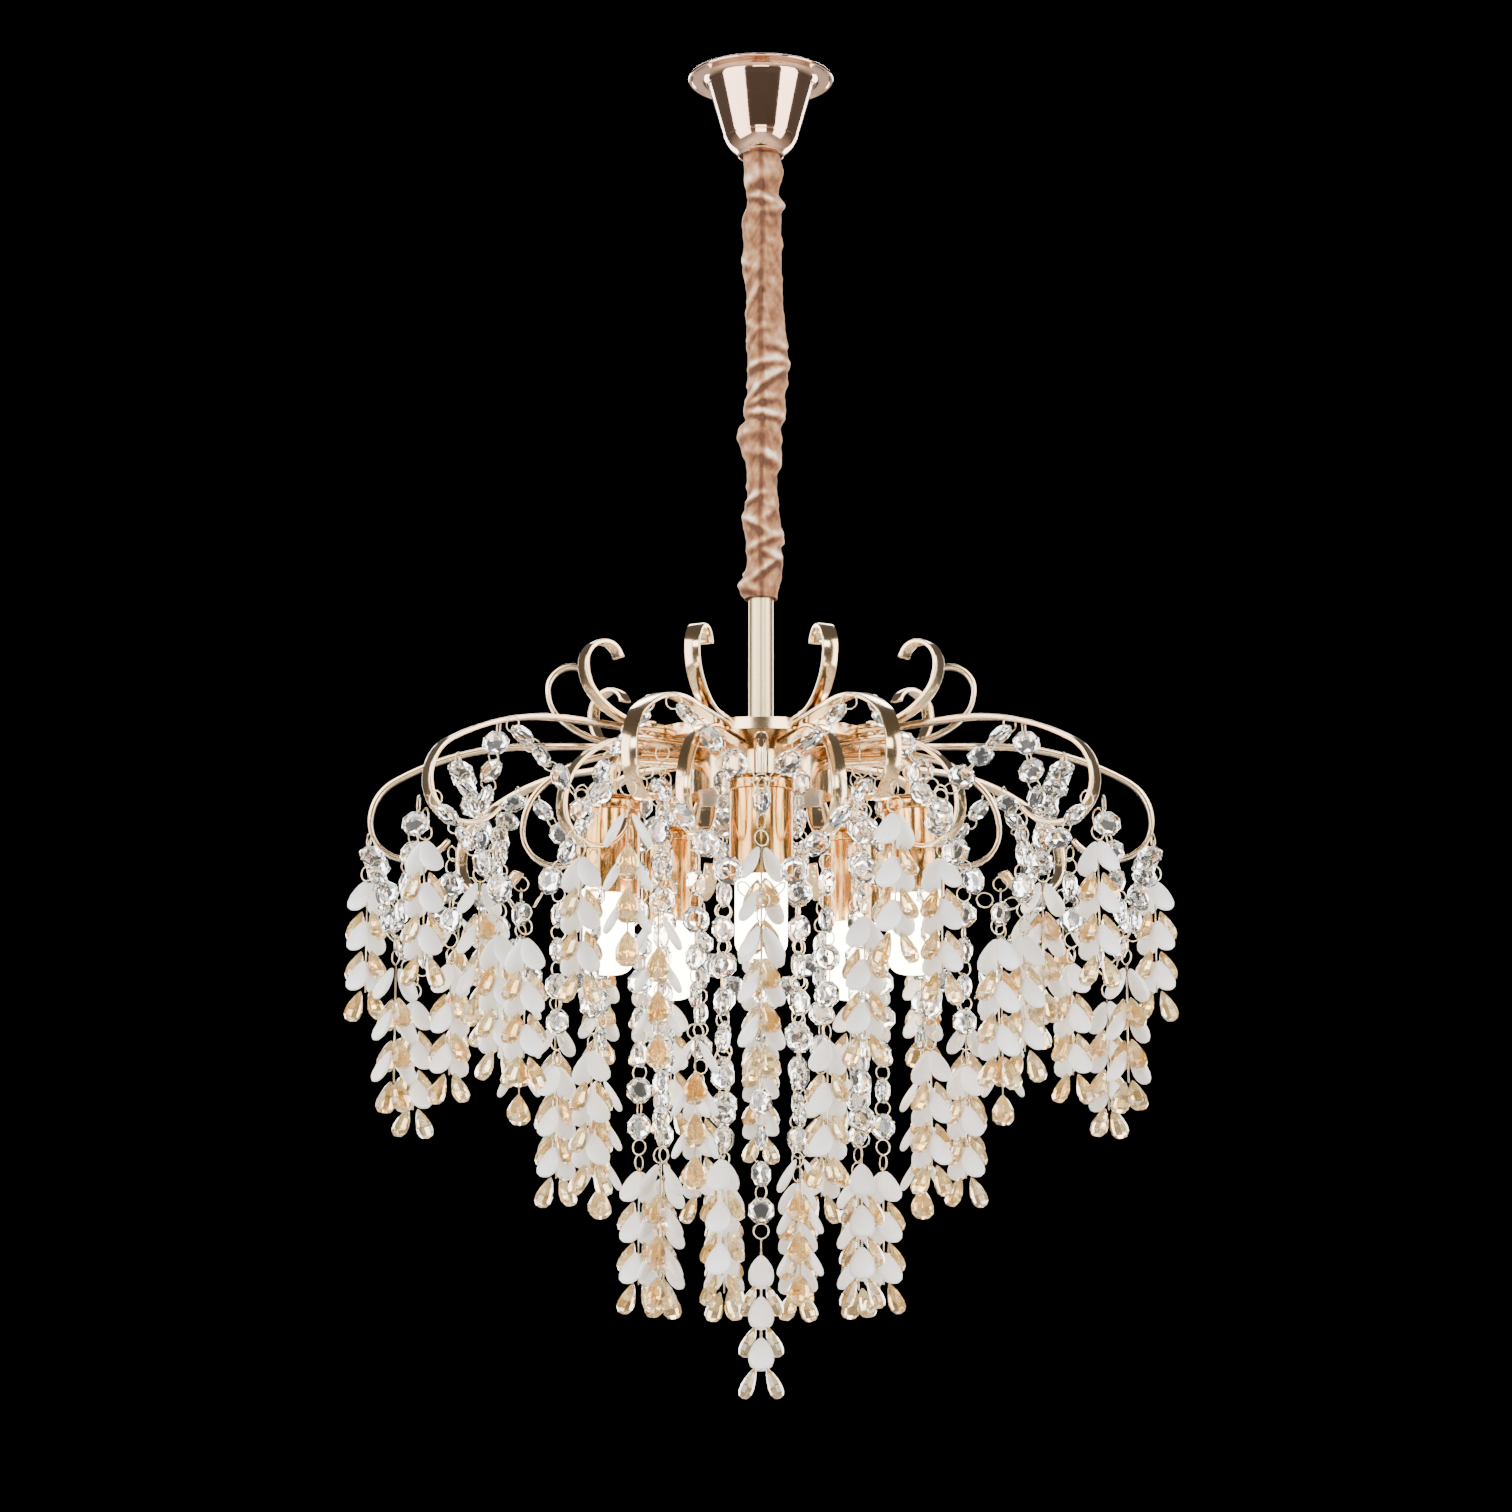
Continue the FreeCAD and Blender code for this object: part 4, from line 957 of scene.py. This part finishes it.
# %% Outline and rolls
# height under the ceiling, reach to the left and reach to the right of the chain, all in mm
SWELL = [
    (-43.0, 10.4, 10.6),
    (-50.0, 10.8, 12.2),
    (-57.0, 10.6, 13.4),
    (-71.0, 8.4, 10.6),
    (-78.0, 8.6, 13.2),
    (-86.0, 11.0, 12.4),
    (-104.0, 10.8, 12.4),
    (-116.0, 11.0, 12.6),
    (-125.0, 9.2, 12.8),
    (-134.0, 8.2, 13.2),
    (-143.0, 9.0, 13.9),
    (-160.0, 8.6, 15.2),
    (-170.0, 7.8, 15.7),
    (-178.0, 7.6, 15.8),
    (-184.0, 7.8, 15.9),
    (-190.0, 8.0, 14.2),
    (-199.0, 9.5, 14.8),
    (-205.0, 9.2, 13.7),
    (-211.0, 13.0, 12.0),
    (-216.0, 13.4, 12.0),
    (-225.0, 11.5, 12.6),
    (-231.0, 9.6, 11.3),
    (-237.0, 8.3, 9.9),
    (-246.0, 8.0, 9.9),
    (-252.0, 7.9, 10.2),
    (-255.0, 9.2, 10.5),
    (-264.0, 11.0, 11.6),
    (-272.0, 10.0, 12.6),
    (-281.0, 8.8, 12.0),
    (-287.0, 8.4, 12.6),
    (-293.0, 8.4, 12.6),
    (-296.0, 10.2, 12.4),
    (-302.0, 13.2, 11.0),
    (-306.0, 12.2, 9.8),
    (-310.0, 9.4, 9.2),
]
# each roll: height at its middle, lean of its line, turn it faces, how far round it runs, height and width
ROLLS = np.array(
    [
        (-64.0, 2.5, -120.0, 70.0, 1.3, 3.0),
        (-74.5, -3.0, -100.0, 80.0, 1.5, 2.2),
        (-80.0, 3.0, -30.0, 70.0, 1.2, 2.4),
        (-113.0, -4.0, -150.0, 60.0, 0.9, 3.2),
        (-122.0, 5.0, -140.0, 50.0, 0.9, 2.8),
        (-135.0, 13.0, -125.0, 45.0, 1.1, 3.0),
        (-150.0, -4.0, -130.0, 40.0, 0.8, 2.6),
        (-157.0, 7.0, -120.0, 50.0, 1.0, 2.4),
        (-163.0, -3.0, -40.0, 45.0, 1.0, 2.4),
        (-174.0, 2.5, -95.0, 85.0, 1.9, 2.0),
        (-184.5, 10.0, -80.0, 80.0, 2.0, 2.4),
        (-196.0, 3.0, -110.0, 70.0, 1.5, 2.2),
        (-203.5, -1.5, -90.0, 95.0, 1.8, 1.9),
        (-215.0, 2.0, -150.0, 50.0, 1.4, 2.6),
        (-229.0, -4.0, -60.0, 60.0, 1.5, 2.4),
        (-252.0, 4.0, -120.0, 60.0, 1.7, 2.0),
        (-262.0, 7.0, -70.0, 40.0, 0.9, 2.8),
        (-267.0, -7.0, -110.0, 50.0, 1.7, 2.2),
        (-277.0, 5.0, -70.0, 70.0, 1.5, 2.0),
        (-286.0, -6.0, -50.0, 60.0, 1.3, 2.2),
        (-294.0, 9.0, -80.0, 60.0, 1.9, 2.2),
        (-304.0, -3.0, -140.0, 60.0, 1.1, 2.6),
        (-95.0, 6.0, 80.0, 90.0, 1.6, 2.8),
        (-128.0, -7.0, 100.0, 80.0, 1.8, 2.4),
        (-155.0, 8.0, 60.0, 80.0, 1.6, 2.6),
        (-180.0, -6.0, 110.0, 90.0, 1.9, 2.2),
        (-210.0, 7.0, 80.0, 80.0, 1.7, 2.6),
        (-240.0, -5.0, 100.0, 90.0, 1.5, 2.4),
        (-270.0, 8.0, 70.0, 90.0, 1.9, 2.4),
        (-290.0, -6.0, 120.0, 80.0, 1.6, 2.2),
    ]
)
print("sleeve outline", len(SWELL), "rows,", len(ROLLS), "rolls")


# %% Sleeve surface
SLEEVE_TOP, SLEEVE_FOOT = -43.0, -310.0
FIRST_EDGE, LAST_EDGE, SEAM = -92.0, 276.0, -90.0
LEAST_RADIUS, LAP_LIFT, TAUT = 7.6, 0.55, 0.8


def sleeve_grid(rows, columns):
    """Radius = swell at that side + the rolls' ridges + a fine crumple - the dip beside the seam.

    The cloth never comes nearer than the links' own radius, its upper edge is lifted where it laps over the
    lower one, and the folds fade out at both ends, where it is tied. Sizes are in mm and turns in degrees.

    A ridge is exp(-(distance below its line / width)^2), steeper on its under side; its strength falls as a
    bell with the turn away from where it faces. The second thing returned is painted shade and highlight
    for
    the colour: high and pale on a ridge, low and dark in the hollow under it and beside the seam.
    """
    height = np.linspace(SLEEVE_TOP, SLEEVE_FOOT, rows)
    turn = np.linspace(FIRST_EDGE, LAST_EDGE, columns)
    reach = smooth_steps(height, SWELL)
    across = np.cos(np.radians(turn))
    middle = (reach[:, 1:] - reach[:, :1]) / 2 * across
    radius = np.repeat(reach.mean(1)[:, None], columns, axis=1)
    z, a = height[:, None, None], turn[None, :, None]
    at, lean, faces, spread, size, wide = ROLLS.T
    away = np.abs((a - faces + 180.0) % 360.0 - 180.0)
    line = at + lean * np.sin(np.radians(a - faces))
    below = line - z
    strength = np.exp(-((away / spread) ** 2)) * size
    slope = np.where(below > 0, wide * 0.7, wide * 1.7)
    folds = 1.25 * (np.exp(-((below / slope) ** 2)) * strength).sum(2)
    # where the hollow under each ridge lies, used only to paint shade into the colour
    painted_hollow_shade = (np.exp(-(((below - wide * 1.5) / wide) ** 2)) * strength).sum(2)
    b = np.radians(turn)[None, :]
    h = height[:, None]
    crumple = 0.40 * np.sin(h / 2.9 + 2.2 * np.sin(2 * b + h / 21)) * np.sin(3 * b + h / 7)
    crumple = crumple + 0.20 * np.sin(h / 1.3 + 3 * np.sin(5 * b)) * np.sin(7 * b - h / 3.1)
    wander = 3.5 * np.sin(height / 19.0)[:, None]
    beside = np.minimum(np.abs(turn - SEAM), np.abs(turn - SEAM - 360.0))[None, :] / 7.0
    dip = 0.36 * np.exp(-(beside**2))
    lap = LAP_LIFT * np.clip((turn[None, :] - (SEAM + 345.0)) / 12.0, 0, 1)
    at_foot = np.clip((height - SLEEVE_FOOT) / 9.0, 0, 1)
    at_top = np.clip((SLEEVE_TOP - height) / 6.0, 0, 1)
    ends = np.minimum(at_foot, at_top)[:, None]
    radius = np.maximum(radius + middle + (folds + crumple - TAUT) * ends, LEAST_RADIUS)
    radius = radius - dip * ends + lap
    angle = np.radians(turn[None, :] + wander)
    level = np.broadcast_to(h, radius.shape)
    points = np.stack([radius * np.cos(angle), radius * np.sin(angle), level], -1)
    # painted shade and highlight for the velvet's colour: pale on the ridges and the crumple's bumps, dark
    # in the hollow under each ridge and beside the seam
    crest = np.clip(0.42 + folds / 3.6 + crumple / 2.5 - painted_hollow_shade / 3.2 - 0.4 * np.exp(-(beside**2)), 0, 1)
    return points * MM, crest


def open_grid_faces(rows, columns):
    """Quads of a grid that doesn't close on itself; rows run down and columns round, so they face out."""
    i, j = np.meshgrid(np.arange(rows - 1), np.arange(columns - 1), indexing="ij")
    first = i * columns + j
    return np.stack([first, first + columns, first + columns + 1, first + 1], -1).reshape(-1, 4)


print("sleeve surface ready, from", SLEEVE_TOP, "to", SLEEVE_FOOT, "mm")

# %% [markdown]
# ## Velvet
# Velvet is woven with a short cut pile. The pile throws light back at grazing angles, so it has a strong,
# soft sheen. Shade and highlight are also painted into its colour: the surface carries a painted fold
# shade, pale on the ridges and dark in the hollows under them, and a noise at the size of the brushed nap
# breaks it up.

# %% Velvet
velvet, velvet_shader = new_material(
    "gathered_velvet", Roughness=0.9, Sheen_Weight=0.6, Sheen_Roughness=0.35, Sheen_Tint=linear("f0d5bd")
)
place = node(velvet, "ShaderNodeTexCoord").outputs["Object"]
# the painted fold shade is read back from the sleeve's own attribute, and the nap's random tone is added to
# it
painted_fold_shade_value = node(velvet, "ShaderNodeAttribute", {"attribute_name": "crest"}).outputs["Fac"]
nap = node(velvet, "ShaderNodeTexNoise", Vector=place, Scale=1 / (5 * MM), Detail=4.0)
nap_part = node(velvet, "ShaderNodeMapRange", Value=nap.outputs["Fac"], To_Min=-0.35, To_Max=0.35)
painted_shade_and_nap = node(velvet, "ShaderNodeMath", {"operation": "ADD"}, _0=painted_fold_shade_value, _1=nap_part.outputs["Result"])
# the ramp paints shade and highlight: dark brown in the hollows and beside the seam, pale cream on the
# ridges
stops = [(0.05, "4e2c19"), (0.3, "7c4d2e"), (0.55, "a3744f"), (0.8, "c9a482"), (1.0, "efdcc6")]
velvet_tone_and_painted_shade = node(velvet, "ShaderNodeValToRGB", {"stops": stops}, Fac=painted_shade_and_nap.outputs["Value"])
link(velvet, velvet_tone_and_painted_shade.outputs["Color"], velvet_shader, "Base Color")
# the pile's tufts are drawn 0.6 mm apart, a little coarser than real ones, so that they show
fine_relief(velvet, velvet_shader, 0.6 * MM, 0.5, 0.25 * MM)
print("cloth", velvet.name)

# %% Sleeve on the chain
SLEEVE_ROWS, SLEEVE_COLUMNS = 380, 118
sleeve_points, crest = sleeve_grid(SLEEVE_ROWS, SLEEVE_COLUMNS)
sleeve_faces = open_grid_faces(SLEEVE_ROWS, SLEEVE_COLUMNS)
sleeve_part = (sleeve_points.reshape(-1, 3), sleeve_faces, velvet, True)
sleeve = put_piece("chain_sleeve_velvet", [sleeve_part], None, ["chain_sleeve"])
# the painted fold shade and highlight go on the sleeve as a point attribute for the velvet's colour ramp
painted_fold_shade_attribute = sleeve.data.attributes.new("crest", "FLOAT", "POINT")
painted_fold_shade_attribute.data.foreach_set("value", crest.ravel().astype(np.float32))
sleeve_girth = np.linalg.norm(np.diff(sleeve_points, axis=1), axis=2).sum(1)
sleeve_length = np.linalg.norm(np.diff(sleeve_points, axis=0), axis=2).sum(0)
girth_and_length = [round(float(measure.mean()) / MM, 1) for measure in (sleeve_girth, sleeve_length)]
print("sleeve girth and length in mm", girth_and_length)
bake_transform(sleeve)

# %% [markdown]
# ## Finishes on the plain metal parts
# The rest of the frame is already the right shape: turned, drilled and pressed parts. They only need
# their finishes, so each CAD node takes the material of the metal or plastic it is made from.

# %% Finishes
plastic, plastic_shader = new_material("moulded_plastic", Roughness=0.45)
patchy_colour(plastic, plastic_shader, "Base Color", 0.9 * MM, [(0.3, "e6e2da"), (0.7, "f2efe9")])
fine_relief(plastic, plastic_shader, 0.9 * MM, 0.15, 0.05 * MM)

FINISHES = {
    "ceiling_bracket": zinc,
    "ceiling_hook": zinc,
    "canopy_screws": rose_gold,
    "chain_links": zinc,
    "chain_bottom_link": zinc,
    "terminal_block": plastic,
    "stem_loop": pale_gold,
    "stem_tube": pale_gold,
    "frame_plate": champagne_gold,
    "hub_drum": champagne_gold,
    "hub_base": champagne_gold,
    "arm_rivets": champagne_gold,
    "lamp_brackets": champagne_gold,
    "lampholders": plastic,
}
for name, finish in FINISHES.items():
    mesh = frame["nodes"][name].data
    mesh.materials.clear()
    mesh.materials.append(finish)
print(len(FINISHES), "finishes set")

# %% [markdown]
# ## Lights, floor and room
# Plated metal only looks like metal when it mirrors something: two tall soft boxes stand left and right
# with a dark gap between them, and two more behind, out of view, send light forward through the crystals.
# Three small weak ones in front lift the shadows. The lit floor beyond the light is what the canopy's
# under side mirrors. The room itself is a pale grey that only the metal and glass can see, and it looks
# black behind the object, as a dark studio does.


# %% Lights
def soft_box(name, place, target, width, height, power):
    """A rectangular area light at a place, turned to face a target."""
    light = bpy.data.lights.new(name, "AREA")
    light.shape = "RECTANGLE"
    light.size, light.size_y = width, height
    light.energy = power
    lamp = bpy.data.objects.new(name, light)
    lamp.location = place
    bpy.context.scene.collection.objects.link(lamp)
    away = np.array(target) - np.array(place)
    yaw = math.atan2(away[1], away[0]) - math.pi / 2
    pitch = math.atan2(away[2], math.hypot(away[0], away[1])) + math.pi / 2
    lamp.rotation_euler = (pitch, 0, yaw)


heart = (0.0, 0.0, -0.42)
soft_box("left_box", (-1.35, -0.75, -0.35), heart, 1.5, 1.9, 62)
soft_box("right_box", (1.35, -0.65, -0.35), heart, 1.1, 1.9, 50)
soft_box("back_left_box", (-1.1, 1.9, -0.3), heart, 0.8, 1.6, 34)
soft_box("back_right_box", (1.1, 1.9, -0.3), heart, 0.8, 1.6, 34)
soft_box("front_left_high", (-0.85, -2.3, 0.45), heart, 1.0, 0.8, 26)
soft_box("front_right_high", (0.85, -2.3, 0.45), heart, 1.0, 0.8, 26)
soft_box("front_low", (0.0, -2.5, -1.5), heart, 1.6, 0.6, 24)
soft_box("floor_light", (0.0, 4.6, 2.9), (0.0, 4.601, -1.9), 3.0, 2.0, 260)

# %% Floor
floor_material, floor_shader = new_material("pale_floor", Roughness=0.6)
patchy_colour(floor_material, floor_shader, "Base Color", 1 / 3, [(0.3, "d6d2cc"), (0.7, "dedad4")], 2.0)
FLOOR_REACH, FLOOR_HEIGHT = 9.0, -1.9
sides = ((-1, -1), (1, -1), (1, 1), (-1, 1))
corners = [(x * FLOOR_REACH, y * FLOOR_REACH, FLOOR_HEIGHT) for x, y in sides]
floor_mesh = bpy.data.meshes.new("floor")
floor_mesh.from_pydata(corners, [], [(0, 1, 2, 3)])
floor_mesh.materials.append(floor_material)
floor = bpy.data.objects.new("floor", floor_mesh)
bpy.context.scene.collection.objects.link(floor)
floor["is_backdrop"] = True
print("floor at", FLOOR_HEIGHT, "m")

# %% World
world = bpy.data.worlds.new("studio")
world.use_nodes = True
room = world.node_tree.nodes["Background"]
room.inputs["Color"].default_value = linear("e8e4e0")
room.inputs["Strength"].default_value = 0.16
backdrop = node(world, "ShaderNodeBackground", Color=linear("000000"))
seen_first = node(world, "ShaderNodeLightPath").outputs["Is Camera Ray"]
looks = {"_1": room.outputs["Background"], "_2": backdrop.outputs["Background"]}
either = node(world, "ShaderNodeMixShader", Fac=seen_first, **looks)
link(world, either.outputs["Shader"], world.node_tree.nodes["World Output"], "Surface")
bpy.context.scene.world = world
print("world", world.name)

# %% [markdown]
# ## Sizes and finish
# The dressed model has to keep the frame's own size, so both boxes are measured and the growth between them
# is printed.

# %% Finish
new_low, new_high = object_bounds()
sizes = {
    "cad": [[float(v) for v in cad_low], [float(v) for v in cad_high]],
    "new": [[float(v) for v in new_low], [float(v) for v in new_high]],
}
grown = np.array(sizes["new"]) - np.array(sizes["cad"])
print("grown, in mm:", (grown / MM).round(1).tolist())
